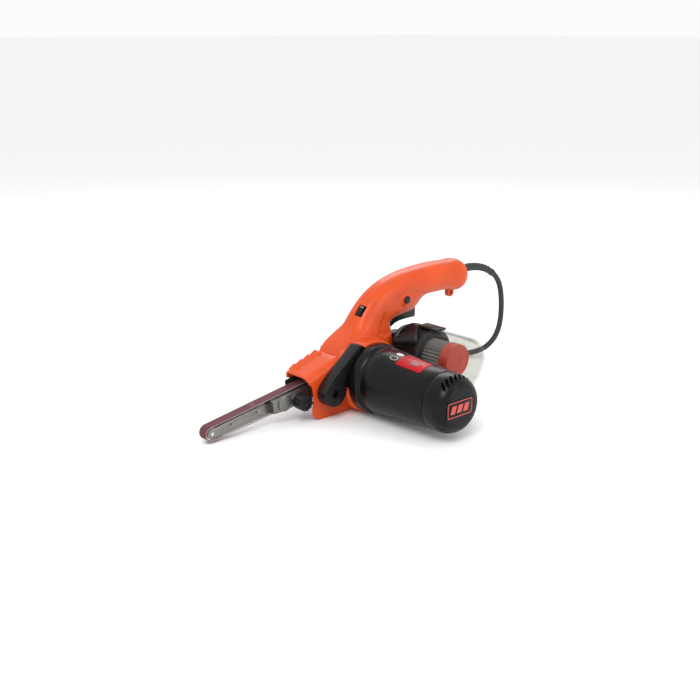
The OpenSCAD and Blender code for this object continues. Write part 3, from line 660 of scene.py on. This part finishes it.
tie = dress(make_tie(), "black", "tool_body")
LOOKS = {
    "abrasive": "abrasive_belt",
    "barrel": "motor_housing motor_end_cap",
    "black": "trigger lock_button speed_wheel dust_duct canister_base canister_latch badge_plate tracking_knob "
             "tension_lever",
    "black_dull": "belt_guard switch_body cord_clamp filter_frame",
    "board": "speed_module",
    "bright": "motor_screws motor_shaft front_bearing rear_bearing platen tip_axle tip_roller tracking_screw "
              "lever_shaft plug_pins",
    "carbon": "carbon_brushes",
    "casting": "arm_casting",
    "clear": "dust_cup",
    "copper": "field_coils armature_windings commutator",
    "dark": "housing_screws arm_rivets lever_screw",
    "fan": "cooling_fan",
    "lamination": "stator_core armature_core",
    "orange": "body_left body_right nose_shroud",
    "orange_cap": "filter_cap",
    "paper": "filter_pleats",
    "pressed": "front_arm",
    "red": "rating_label",
    "resin": "brush_holders",
    "rubber": "drive_roller cup_seal plug_body",
    "spring": "tension_spring trigger_spring",
}
for look, nodes in LOOKS.items():
    for node in nodes.split():
        paint(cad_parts[node], look)


# --- body shells
# Rows of the body: front x, z, rear x, z, half width, squareness
ROWS = [
    (-38, -39.5, 12, -39.5, 20, 7), (-38, -33, 26, -34, 21, 7), (-38, -15, 41, -18, 21, 7),
    (-38, 5, 48, 4, 21, 7), (-37, 22, 50, 20, 21, 7), (-29.5, 33.5, 50, 32, 20.5, 6),
    (-15, 43, 50, 40, 20, 5), (-4, 51, 51, 46, 19, 3.6), (3, 62, 55, 50, 18, 3),
    (14, 75, 65, 52.5, 18, 2.8), (29, 87, 77, 53.5, 18, 2.7), (48, 96, 90, 55, 18, 2.7),
    (73, 102.5, 98.5, 61, 17.5, 2.6), (100, 105.5, 108, 69, 17.5, 2.5), (130, 106.5, 132, 70, 17.5, 2.5),
    (152, 105.5, 148, 69.5, 17.5, 2.5), (161, 106, 156, 68.5, 18.1, 2.5), (170, 104.5, 165, 66.5, 18.3, 2.5),
    (178, 98.5, 175, 69.5, 15.5, 2.4), (184, 90.5, 183, 77, 9, 2.2),
]
WALL = 2.6


def body_rings(inset, steps, sides):
    """Loops of the body's skin, drawn in by inset."""
    stations = [list(map(float, s)) for s in ROWS]
    for column in (1, 3):
        stations[0][column] += inset
        stations[-1][column - 1] -= inset
    rings = []
    for s in smooth_path(stations, steps):
        front, back = np.array([s[0], s[1]]), np.array([s[2], s[3]])
        mid, half = (front + back) / 2, (front - back) / 2
        size = float(np.hypot(*half))
        reach, side = max(size - inset, 0.6), max(s[4] - inset, 0.6)
        way, e = half / size, 2.0 / s[5]
        ring = []
        for a in around(sides):
            u = reach * squared(cos(a), e)
            ring.append((mid[0] + way[0] * u, MID + side * squared(sin(a), e), mid[1] + way[1] * u))
        rings.append(ring)
    return rings


def remesh(obj, voxel, rounds):
    """Melts an object's solids into one skin with soft inner corners."""
    mod = obj.modifiers.new("remesh", "REMESH")
    mod.mode = "VOXEL"
    mod.voxel_size = voxel * 0.001
    mod.use_smooth_shade = True
    mod = obj.modifiers.new("smooth", "SMOOTH")
    mod.factor = 0.5
    mod.iterations = rounds
    apply(obj)


def dist_to_path(x, z, path):
    best = np.full(len(x), 1e9)
    for (ax, az), (bx, bz) in zip(path, path[1:]):
        dx, dz = bx - ax, bz - az
        t = np.clip(((x - ax) * dx + (z - az) * dz) / (dx * dx + dz * dz), 0, 1)
        best = np.minimum(best, np.hypot(x - ax - t * dx, z - az - t * dz))
    return best


def inside(x, z, loop):
    hit = np.zeros(len(x), bool)
    for (ax, az), (bx, bz) in zip(loop, loop[1:] + loop[:1]):
        hit ^= ((az > z) != (bz > z)) & (x < (bx - ax) * (z - az) / ((bz - az) + 1e-12) + ax)
    return hit


def press(obj, loop, depth, fall, near):
    """Sinks the flank of the body inside a loop of (x, z), with a soft edge."""
    me = obj.data
    co = np.empty(len(me.vertices) * 3)
    me.vertices.foreach_get("co", co)
    co = co.reshape(-1, 3)
    x, y, z = (co * 1000 - np.array(OFFSET)).T
    d = dist_to_path(x, z, loop + loop[:1]) / (2 * fall)
    k = np.clip(np.where(inside(x, z, loop), 0.5 + d, 0.5 - d), 0, 1)
    flank = np.clip(((MID - y if near else y - MID) - 8) / 6, 0, 1)
    co[:, 1] += (1 if near else -1) * depth * ease(k) * flank / 1000
    me.vertices.foreach_set("co", co.ravel())
    me.update()


WHEEL = (15.8, 63)          # x, z of the speed wheel's axis
LOCK = (70, 73)             # x, z of the lock-on button's axis
EYE = (161, 64)             # x, z of the hanging hole
SHELL_SCREWS = ((-29, 27), (-28, -31), (34, -24), (45, 63), (108, 88), (142, 88))
CORD_Z = 89.5               # z of the cord's way out of the handle
SEAM = 0.12                 # half the gap between the shells


def make_shells():
    outer = skin("outer", body_rings(0, 4, 64))
    collar = lathe("collar", [(0, 0), (41.5, 0), (41.5, 16), (41.3, 17.8), (40.4, 19), (0, 19)], 0, 0, -24)
    boolean(collar, block("foot", (-60, -60, -60), (60, 40, BASE)))
    # raised ring round the lock-on button
    rim = rod("rim", *LOCK, -24.6, -18, 7.4, 48)
    outer = join("outer", [outer, collar, rim])
    remesh(outer, 0.85, 9)
    # hollow flank behind the neck, and a swell round the lock-on button, on both sides
    hollow = [(24, 40), (27, 50), (33, 58.5), (39, 67), (46.5, 74.5), (57, 80.5), (70, 82), (96, 80),
              (104, 74), (99, 60), (90, 54), (66, 51), (53, 50), (49, 44), (44, 38), (34, 36)]
    swell = [(64.5, 73), (66, 77.6), (70, 79.4), (74, 77.6), (75.5, 73), (74, 68.4), (70, 66.6), (66, 68.4)]
    for loop, depth, fall in ((hollow, 1.5, 2.6), (swell, -1.1, 0.7)):
        press(outer, loop, depth, fall, True)
        press(outer, loop, depth, fall, False)
    window = block("window", (-7.0, -5.2, 0), (7.0, 5.2, 22), -49.5, (WHEEL[0], -11, 62))
    bevel(window, 0.9)
    mouth = rod("mouth", 0, 0, -30, 0, 5.8, 48)
    for v in mouth.data.vertices:
        p = drive(v.co)
        v.co = row((170 - p.y, MID + p.x, CORD_Z + p.z))
    tidy(mouth)
    nest = [(-64.6, 2.6), (-20, 43.5), (-10.4, 33.6), (-15, 33), (-24, 27.6), (-31, 19.4), (-35.4, 9.4),
            (-36.2, -3), (-45, -19), (-60, -24), (-72, -10)]
    cuts = [
        skin("hollow", body_rings(WALL, 3, 48)),
        rod("seat", 0, 0, -60, SIDE + WALL + 0.5, 33.05, 96),
        rod("wheel_well", *WHEEL, -14.7, -7.3, 10.5, 48),
        block("way", (-50, -18, -29), (-34, 11.5, 15)),
        rod("lock_hole", *LOCK, -40, -18, 4.75, 48),
        block("duct_mouth", (46, -13.8, 18.8), (60, -1, 33.2)),
        slab("trigger_slot", [(51.6, 40), (52, 60), (66, 63), (97.2, 62), (97.2, 40)], -12.4, 0.4),
        window,
        mouth,
        slab("nest", nest, -60, -27.4),
    ] + [rod("screw_way", x, z, 9, 40, 3.7) for x, z in SHELL_SCREWS]
    for cut in cuts:
        boolean(outer, cut)
    # eyelet under the end of the handle
    ring = [(2.5, -3), (5.1, -3), (5.5, -2.6), (5.5, 2.6), (5.1, 3), (2.5, 3)]
    boolean(outer, lathe("eye", ring, *EYE, MID, 48, closed=True), "UNION")
    left, right = add("shell_left", outer.data.copy()), outer
    boolean(left, block("near_half", (-90, -90, -90), (230, MID - SEAM, 150)), "INTERSECT")
    right.name = "shell_right"
    boolean(right, block("far_half", (-90, MID + SEAM, -90), (230, 90, 150)), "INTERSECT")
    for shell, node in ((left, "body_left"), (right, "body_right")):
        shell.data.name = shell.name
        dress(shell, "orange", "tool_body")
        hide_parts(node)


make_shells()


# --- nose shroud
PIVOT = (-55.0, -8.5)       # x, z of the tension lever's shaft


def make_shroud():
    # x and z along the top, from the front to the back
    top = ((-95, -81, -69, -56, -44, -38.7, -28), (6.5, 11.4, 15.2, 19.6, 23.6, 25.0, 27.0))

    def section(x, inset):
        """A loop across the hood, down past the floor, with the rounder shoulder on the near side."""
        z1 = np.interp(x, *top) - inset
        y0, y1 = SIDE + inset, 13 - inset - 0.5 * max(0.0, x + 42)
        r0, r1 = 8.5 - inset, 4.5 - inset
        near = arc(y0 + r0, z1 - r0, r0, 180, -90, 8)
        far = arc(y1 - r1, z1 - r1, r1, 90, -90, 6)
        return [(x, y, z) for y, z in [(y0, -60)] + near + far + [(y1, -60)]]

    def solid(name, inset, x0, x1):
        return skin(name, [section(float(x), inset) for x in np.linspace(x0, x1, 26)])

    hood = solid("shroud", 0, -92, -29)
    # stepped grip ribs along the top's far edge
    for x in (-73, -63, -53, -43):
        z = np.interp(x, *top)
        rib = [(x - 5, z - 4), (x - 4.6, z - 1.2), (x + 3.2, z + 3.4), (x + 4.6, z + 1.0), (x + 5, z - 3)]
        boolean(hood, slab("rib", rib, 1.5, 12.4), "UNION")
    boolean(hood, solid("inner", WALL, -94, -26))
    # the near wall's front edge, the front, the far wall's lower edge and the open underside
    near = [(-120, 60), (-80.5, 60), (-82, 9.5), (-80, 4), (-75.2, -1), (-73.6, -10), (-73.8, -20), (-75.2, -29),
            (-73.5, -35), (-66, BASE), (-66, -70), (-120, -70)]
    front = [(-120, 60), (-81, 60), (-81, 9), (-81, -70), (-120, -70)]
    far = [(-120, -70), (-120, 12), (-81.5, 12), (-83, 4), (-74, 1), (-60, 4), (-38, 8), (-30, 8), (-30, -70)]
    under = [(-120, -70), (-120, BASE), (-30, BASE), (-30, -70)]
    for outline, y0, y1 in ((near, -40, -18), (front, -18, 30), (far, -6, 30), (under, -40, 30)):
        boolean(hood, slab("cut", outline, y0, y1))
    boolean(hood, rod("shaft", *PIVOT, -40, -20, 4.05, 48))
    remesh(hood, 0.45, 3)
    boolean(hood, block("flat", (-120, -60, -80), (20, 60, BASE)))
    hood.name = hood.data.name = "shroud"
    dress(hood, "orange", "tool_body")
    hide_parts("nose_shroud")


make_shroud()

# --- motor housing and its cap
ROOT_R, TIP_R, ROOT_Y, TIP_Y, FACE_Y = 38.0, 32.4, -65.0, -150.0, -177.0
BEARING_R = 11.02


def barrel_r(y):
    """The barrel's radius, which tapers evenly from the collar to the cap."""
    return ROOT_R + (TIP_R - ROOT_R) * (ROOT_Y - y) / (ROOT_Y - TIP_Y)


def make_barrel():
    # shoulder near the collar, then a waist
    skirt = [(0, 37.9), (7, 37.9), (8.2, 38.3), (9.5, 39.1), (11, 39.45), (18.5, 39.45), (20.4, 39.1), (22, 38.2),
             (23.2, 37.2), (24.6, 36.7), (26.6, 36.7), (28.6, 37.2), (30.5, 37.75)]
    outer = [(r, s) for s, r in skirt] + [(barrel_r(y), -36 - y) for y in (-75, -95, -115, -135, -149.2)]
    outer += [(TIP_R - 0.1, 113.7), (TIP_R - 0.6, 114)]
    inner = [(TIP_R - WALL, 114), (ROOT_R - WALL, 29), (34.5, 24), (30, 21), (30, 0)]
    spigot, carrier = bush(30, 33, 10, 0, 0, -26, 96), bush(BEARING_R, 29.9, 7, 0, 0, SIDE, 96)
    for x, z in arc(0, 0, 21, 0, 300, 5):
        boolean(carrier, rod("hole", x, z, -40, -20, 4.5))
    posts = [bush(1.8, 4.2, 8, x, z, -60, 32) for x, z in arc(0, 0, 28.5, 45, 270, 3)]
    shell = lathe("barrel", outer + inner, 0, 0, -36, 128, closed=True)
    barrel = join("barrel", [shell, spigot, carrier] + posts)
    dress(barrel, "barrel", "tool_body")
    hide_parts("motor_housing")


make_barrel()


def vent(turn):
    """A cooling slot's cutter: round-ended and slanting, at one angle round the motor."""
    length, half, slant, middle = 8.5, 1.15, radians(-38), -167.0
    s, c = sin(slant), cos(slant)
    outline = arc(0, length / 2, half, 0, 180, 8) + arc(0, -length / 2, half, 180, 180, 8)
    flat = [(u * c - v * s, u * s + v * c) for u, v in outline]
    st, ct = sin(radians(turn)), cos(radians(turn))
    loops = [[(u * ct + h * st, middle + v, -u * st + h * ct) for u, v in flat] for h in (14, 40)]
    return prism("slot", *loops)


def make_cap():
    # side, rolled seam, long rounded shoulder, a shallow ring and the flat face
    side = [(TIP_R - 0.9, 0), (TIP_R - 0.25, 0.3), (TIP_R, 0.9), (TIP_R - 0.05, 5), (TIP_R - 0.25, 9)]
    dome = [(21.4 + 10.7 * cos(a), 9 + 17.2 * sin(a)) for a in around(60)[1:13]]
    face = [(23.6, 26.35), (23.1, 26.2), (22.5, 26.25), (21.8, 26.6), (20.6, 26.9), (18, 27), (0, 27)]
    inner = [(0, 24), (20, 24), (25, 22), (28.4, 16), (29.4, 9), (29.4, 0)]
    cap = lathe("end_cap", side + dome + face + inner, 0, 0, TIP_Y, 128, angle=40)
    # close the open edge of the cap
    with editing(cap.data) as bm:
        bmesh.ops.bridge_loops(bm, edges=[e for e in bm.edges if e.is_boundary])
    tidy(cap, True, 40)
    for half in (0, 180):
        for i in range(8):
            boolean(cap, vent(half + 46 - 12 * i), angle=40)
    cap = join("end_cap", [cap, bush(BEARING_R, 13, 9, 0, 0, FACE_Y + 12, 48)])
    dress(cap, "barrel", "tool_body")
    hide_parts("motor_end_cap")


make_cap()


def round_rect(cx, w, h, r):
    """A rounded rectangle of (x, z) points about (cx, 0)."""
    corners = ((1, 1, 0), (-1, 1, 90), (-1, -1, 180), (1, -1, 270))
    return [p for i, j, a in corners for p in arc(cx + i * (w / 2 - r), j * (h / 2 - r), r, a, 90, 6)]


def make_badge():
    """Low plate with a printed border and three plain slanting bars, a generic mark."""
    cx = -4.0
    printed = (FACE_Y - 0.62, FACE_Y - 0.4)
    plate = slab("badge", round_rect(cx, 38.6, 18.6, 3.2), FACE_Y - 0.5, FACE_Y + 0.2)
    bevel(plate, 0.25, 2)
    dress(plate, "barrel", "tool_body")
    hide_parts("badge_plate")
    border = slab("border", round_rect(cx, 36.6, 16.6, 2.6), *printed)
    boolean(border, slab("hole", round_rect(cx, 34.9, 14.9, 1.9), FACE_Y - 2, FACE_Y + 2))
    parts = [border]
    half, slant = 3.25, 1.4
    for x in (cx - 9.5, cx, cx + 9.5):
        foot, head = x - slant, x + slant
        bar = [(foot - half, -4.2), (foot + half, -4.2), (head + half, 4.2), (head - half, 4.2)]
        parts.append(slab("bar", bar, *printed))
    dress(join("badge_border", parts), "badge", "tool_body")


make_badge()


def grid_patch(name, a0, a1, y0, y1, lift, thick, cols=12, radius=0.0):
    """A thin sheet on the barrel between two angles in degrees, with rounded corners."""
    rings = []
    for i in range(cols + 1):
        a = radians(a0 + (a1 - a0) * i / cols)
        edge = min(i, cols - i) / cols * radians(a1 - a0) * 34    # in mm, near the barrel's middle
        trim = 0.0 if edge >= radius else radius - sqrt(max(0.0, radius ** 2 - (radius - edge) ** 2))
        low, high, top = y0 + trim, y1 - trim, lift + thick
        section = [(barrel_r(y) + h, y) for y, h in ((low, lift), (high, lift), (high, top), (low, top))]
        rings.append([(r * cos(a), y, r * sin(a)) for r, y in section])
    return skin(name, rings)


def make_label():
    """A red label with bars of ink in place of text, and two small signs beside it."""
    label = grid_patch("label", 82, 120, -131, -95, -0.05, 0.35, 14, 1.5)
    dress(label, "red", "tool_body")
    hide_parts("rating_label")
    bars = ((88, 91.5, -126, -113), (94, 95.6, -127.5, -108), (97.5, 99.1, -124, -104),
            (101.5, 107, -121, -110), (109, 110.8, -119, -106), (88.5, 90, -109, -101))
    ink = [grid_patch("ink", *bar, 0.28, 0.06, 4, 0.6) for bar in bars]
    dress(join("label_ink", ink), "ink", "tool_body")
    signs = ((103.5, 113.5, -92.6, -82.2), (89, 98, -92.6, -82.6))
    pale = [grid_patch("sign", *sign, 0.02, 0.08, 12, 3.2) for sign in signs]
    pale.append(grid_patch("dot", 99.6, 101.2, -127.4, -126, 0.3, 0.08, 4, 0.4))
    dress(join("label_signs", pale), "pale", "tool_body")
    field = grid_patch("label_fields", 104.4, 112.6, -91.9, -82.9, 0.08, 0.07, 12, 2.8)
    dress(field, "barrel", "tool_body")


make_label()


# --- tension lever
NEST_R = 36.6               # the lever's hollow, which lies round the motor's collar
LEAN = atan2(35.5 + 8.5, -17 + 55.0)


def lever_point(s, o):
    """A point s along the lever from its pivot and o to its right, looking from the motor side."""
    ux, uz = cos(LEAN), sin(LEAN)
    return (PIVOT[0] + ux * s + uz * o, PIVOT[1] + uz * s - ux * o)


def lever_edge(s, clear):
    """How far right of the lever's middle line the motor collar's nest lets it reach."""
    x, z = lever_point(s, 0)
    along = x * sin(LEAN) - z * cos(LEAN)
    return -along - sqrt(along ** 2 - x * x - z * z + (NEST_R + clear) ** 2)


def make_lever():
    outline = arc(*PIVOT, 14.8, degrees(LEAN) + 90, 180, 32)
    outline += [lever_point(s, o) for s, o in (
        (10, 13.8), (57.6, 3.4), (59.2, 2.6), (59.8, 1.2), (59.8, -4.2), (59.2, -5.6), (57.8, -6.2), (40, -8.8),
        (12, -13.9),
    )]
    body = slab("lever", outline, -42, -28)
    boolean(body, rod("nest", 0, 0, -60, 0, NEST_R, 128))
    bevel(body, 1.0, 3, 40)
    # right of the raised band: a dark triangular pocket, a rib, and a second pocket above it
    low = [lever_point(s, 1.5) for s in (17, 29)] + [lever_point(s, lever_edge(s, 1.9)) for s in (29, 25, 21, 17)]
    high = [lever_point(s, 1.2) for s in (31.5, 50)]
    high += [lever_point(s, lever_edge(s, 1.7)) for s in (50, 44, 38, 31.5)]
    step = [lever_point(s, o) for s, o in ((12.5, 2.2), (58, -0.6), (58, 12), (12.5, 18))]
    for outline, floor in ((low, -33.5), (high, -33.5), (step, -39.4)):
        boolean(body, slab("recess", outline, -60, floor))
    boolean(body, rod("eye", *PIVOT, -43, -33, 4.7, 48))
    boolean(body, rod("bore", *PIVOT, -50, -20, 2.2))
    dress(body, "black", "lever")
    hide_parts("tension_lever")
    # the screw sits deep in the eye, with a washer under its head
    profile = [(0, 0), (2.1, 0), (2.1, 12.4), (4.3, 12.4), (4.3, 13.2), (3.4, 13.2), (3.4, 15.2), (3.0, 15.7),
               (1.6, 15.7), (1.4, 14.2), (0, 14.2)]
    head = lathe("lever_bolt", profile, *PIVOT, -20.5, 48)
    dress(head, "dark", "lever")
    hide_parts("lever_screw")


make_lever()


# --- tracking knob
def make_knob():
    kx, kz = -86.0, -3.5
    outline = []
    for a in around(180):
        r = 9.0 - 1.15 * max(0.0, cos(10 * a)) ** 3
        outline.append((kx + r * cos(a), kz + r * sin(a)))
    knob = slab("knob", outline, -27.6, -13.4, arm, 50)
    bevel(knob, 0.7, 3, 60)
    boolean(knob, lathe("hollow", [(0, 0), (5.6, 0), (6.0, 1.6), (0, 1.6)], kx, kz, -26.3, 48, local=arm))
    grip = [(kx + i * 5.4, kz + j * 1.3) for i, j in ((-1, -1), (1, -1), (1, 1), (-1, 1))]
    boolean(knob, slab("grip", grip, -27.8, -26.1, arm), "UNION")
    dress(knob, "black", "tracking")
    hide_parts("tracking_knob")


make_knob()


# --- speed wheel: a painted highlight across its rim
def make_wheel_highlight():
    """A pale bar across the rim of the speed wheel, seen through the window: a painted highlight where light catches
    the rim, not print.
    """
    outline = arc(*WHEEL, 10.12, 112, 9, 6) + arc(*WHEEL, 9.4, 121, -9, 6)
    dress(slab("wheel_highlight_bar", outline, -13.6, -8.4), "mark", "speed_part")


make_wheel_highlight()


# --- belt
BELT_LENGTH, BELT_WIDTH, BELT_THICK = 451, 13, 1.0
DRIVE_R, TIP_ROLL_R = 10.5, 7.0
PLAY = 0.05                 # keeps the cloth off the rollers


def make_belt():
    """The belt's section is a rounded strip, grit outside and cloth inside, with a film over its joint."""
    drive_r, tip_r = DRIVE_R + PLAY, TIP_ROLL_R + PLAY
    rough = (BELT_LENGTH - pi * (drive_r + tip_r + BELT_THICK)) / 2
    reach = rough - (drive_r - tip_r) ** 2 / (2 * rough)
    lean = asin((DRIVE_R - TIP_ROLL_R) / reach)
    # x, z and the outward way, round the drive roller and then round the tip roller
    corners = []
    quarter = pi / 2 + lean
    for x, r, start, sweep, steps in (
        (0.0, drive_r, -quarter, 2 * quarter, 40),
        (-reach, tip_r, quarter, 2 * pi - 2 * quarter, 32),
    ):
        for k in range(steps + 1):
            a = start + sweep * k / steps
            corners.append((x + r * cos(a), r * sin(a), cos(a), sin(a)))
    # the straight runs get stations of their own, so that the grit follows the belt evenly
    stations = []
    for a, b in zip(corners, corners[1:] + corners[:1]):
        cuts = max(1, int(hypot(b[0] - a[0], b[1] - a[1]) / 6.0))
        stations += [tuple(a[j] + (b[j] - a[j]) * k / cuts for j in range(4)) for k in range(cuts)]
    half = BELT_WIDTH / 2
    section = [
        (-half, 0.0), (-half, 0.72), (-half + 0.18, 0.93), (-half + 0.5, BELT_THICK),
        (half - 0.5, BELT_THICK), (half - 0.18, 0.93), (half, 0.72), (half, 0.0),
    ]
    # the look of each face across the section: edge 2, grit 0, cloth 1
    looks = [2, 2, 0, 0, 0, 2, 2, 1] * len(stations)
    belt = skin("belt", [[(x + nx * h, y, z + nz * h) for y, h in section] for x, z, nx, nz in stations], True, arm)
    for look in ("abrasive", "cloth", "belt_edge"):
        belt.data.materials.append(mats[look])
    if len(belt.data.polygons) == len(looks):
        belt.data.polygons.foreach_set("material_index", looks)
    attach(belt, "tool_body")
    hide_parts("abrasive_belt")
    # joint: a slanting strip of film over the grit on the top run
    sx, wide = -140.0, half - 0.1
    rise = (DRIVE_R - TIP_ROLL_R) / reach
    strip = ((sx - 3.6, -wide), (sx + 2.4, -wide), (sx + 6.4, wide), (sx + 0.4, wide))
    top = drive_r + BELT_THICK + 0.02
    verts = [(x, y, top + x * rise + h) for h in (-0.05, 0.04) for x, y in strip]
    faces = [(3, 2, 1, 0), (4, 5, 6, 7), (0, 1, 5, 4), (1, 2, 6, 5), (2, 3, 7, 6), (3, 0, 4, 7)]
    dress(piece("belt_splice", verts, faces, False, local=arm), "splice", "tool_body")


make_belt()


# --- dust collector
CAN = (76.0, 15.5)          # x, z of the collector's axis


def make_dust():
    """Black case with its tapered inlet, clear cup with a recessed end, and the filter's end plate."""
    wall = [(0, 0), (20, 0), (23.4, 0.5), (25.0, 2.2), (25.8, 7), (27.6, 9.6), (28.7, 11.6), (29, 13.4), (29, 35),
            (28.5, 35.4), (28.5, 36.8), (29, 37.2), (29, 45.4), (28.5, 46)]
    room = [(26.5, 46), (26.5, 14), (23.4, 8.5), (22, 3.4), (0, 2.6)]
    case = lathe("case", wall + room, *CAN, -14, 128)
    neck = block("neck", (62.1, -14.5, 19), (74, -1.2, 33))
    bevel(neck, 1.2)
    boolean(case, neck, "UNION")
    # the inlet: distance from its small end, and radius
    start, end = np.array((42, -30.5, 30.0)), np.array((61, -52, 32.0))
    way = (end - start) / length(start, end)
    rows = ((0, 4.2), (0.6, 4.7), (3, 5.4), (10, 7.6), (18, 10.2), (24, 12.2), (27.2, 13.0), (28.6, 12.7),
            (29.6, 11.6), (30.2, 9.4))
    horn = tube("horn", [start + way * d for d, _ in rows], [r for _, r in rows], 64)
    boolean(horn, rod("room", *CAN, -63, -27, 26.6, 96))
    boolean(case, horn, "UNION")
    boolean(case, tube("bore", [start + way * d for d in (-2, 26)], [2.6, 10.4], 48))
    boolean(case, block("elbow", (60, -11.8, 21), (72, -3, 31)))
    boolean(case, block("elbow", (64, -18, 21), (72, -3, 31)))
    dress(case, "black", "canister")
    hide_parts("canister_base")
    profile = [(0, 54.2), (21.6, 54.2), (24.4, 53.8), (26.4, 52.2), (27.2, 49.6), (27.2, 0), (29, 0), (29, 2.4),
               (28.7, 2.8), (28.7, 5.4), (29, 5.8), (29, 50.4), (28.5, 52.6), (27.3, 54.4), (25.4, 55.6), (23.9, 56),
               (22.8, 56), (22.2, 55.5), (0, 55.5)]
    cup = lathe("cup", profile, *CAN, -62, 128)
    dress(cup, "clear", "cup")
    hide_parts("dust_cup")
    profile = [(0, 0), (18.6, 0), (19, 0.5), (19, 3.4), (18.6, 3.8), (18.6, 4.8), (19, 5.2), (19, 11.8), (18.7, 12.6),
               (17.9, 13), (16.2, 13), (15.6, 12.4), (6.2, 12.4), (5.6, 11.6), (0, 11.6)]
    cap = lathe("filter_end", profile, *CAN, -87.5)
    dress(cap, "orange_cap", "canister")
    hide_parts("filter_cap")


make_dust()


# --- softened copies of the CAD's small parts
def soften(node, look, body, width):
    """A copy of a part with its sharp edges rounded over, as cast, pressed or moulded."""
    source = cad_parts[node]
    obj = source.copy()
    obj.data = source.data.copy()
    obj.name = obj.data.name = node + "_soft"
    obj.parent = None
    obj.matrix_world = source.matrix_world.copy()
    scene.collection.objects.link(obj)
    with editing(obj.data) as bm:
        bmesh.ops.remove_doubles(bm, verts=bm.verts, dist=WELD)
        bmesh.ops.dissolve_limit(bm, angle_limit=radians(1.0), verts=bm.verts, edges=bm.edges)
    bevel(obj, width, 2, 35)
    dress(obj, look, body)
    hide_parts(node)


for node, look, body, slot, width in (
    ("arm_casting", "casting", "tool_body", "zinc_casting", 0.7),
    ("front_arm", "pressed", "sliding_arm", "pressed_steel", 0.3),
    ("trigger", "black", "trigger_part", "black_plastic", 1.0),
    ("canister_latch", "black", "canister", "black_plastic", 0.8),
    ("lock_button", "black", "lock_part", "black_plastic", 0.5),
    ("belt_guard", "black_dull", "tool_body", "black_plastic", 0.4),
):
    soften(node, look, body, width)


# --- floor and light
def stage():
    half, z, white = 45.0, -0.0004, 0.92
    mesh = bpy.data.meshes.new("floor")
    mesh.from_pydata([(i * half, j * half, z) for i, j in ((-1, -1), (1, -1), (1, 1), (-1, 1))], [], [(0, 1, 2, 3)])
    floor = add("floor", mesh)
    n = Nodes("floor_white")
    fine = n.noise(60.0, 3.0)
    n.surface(n.mix(n.span(fine, 0.0, 1.0, 0.3, 0.7), (white,) * 3 + (1,), (white + 0.02,) * 3 + (1,)), 0.9)
    mesh.materials.append(n.mat)
    world = bpy.data.worlds.new("studio")
    world.use_nodes = True
    background = world.node_tree.nodes["Background"]
    background.inputs["Color"].default_value = (1, 1, 1, 1)
    background.inputs["Strength"].default_value = 0.97
    scene.world = world
    scene.view_settings.view_transform = "Standard"

    def area(name, place, target, size, power):
        data = bpy.data.lights.new(name, "AREA")
        data.shape = "RECTANGLE"
        data.size, data.size_y = size
        data.energy = power
        turn = (Vector(target) - Vector(place)).to_track_quat("-Z", "Y").to_matrix()
        add(name, data).matrix_world = Matrix.Translation(place) @ turn.to_4x4()

    area("key", (-0.75, -0.55, 1.15), (0, 0, 0.05), (0.7, 0.7), 9.0)
    area("rear", (0.9, 0.9, 1.0), (0, 0, 0.05), (0.8, 0.5), 5.0)
    area("side", (0.5, -1.2, 0.5), (0, -0.05, 0.04), (0.35, 0.9), 3.0)


stage()
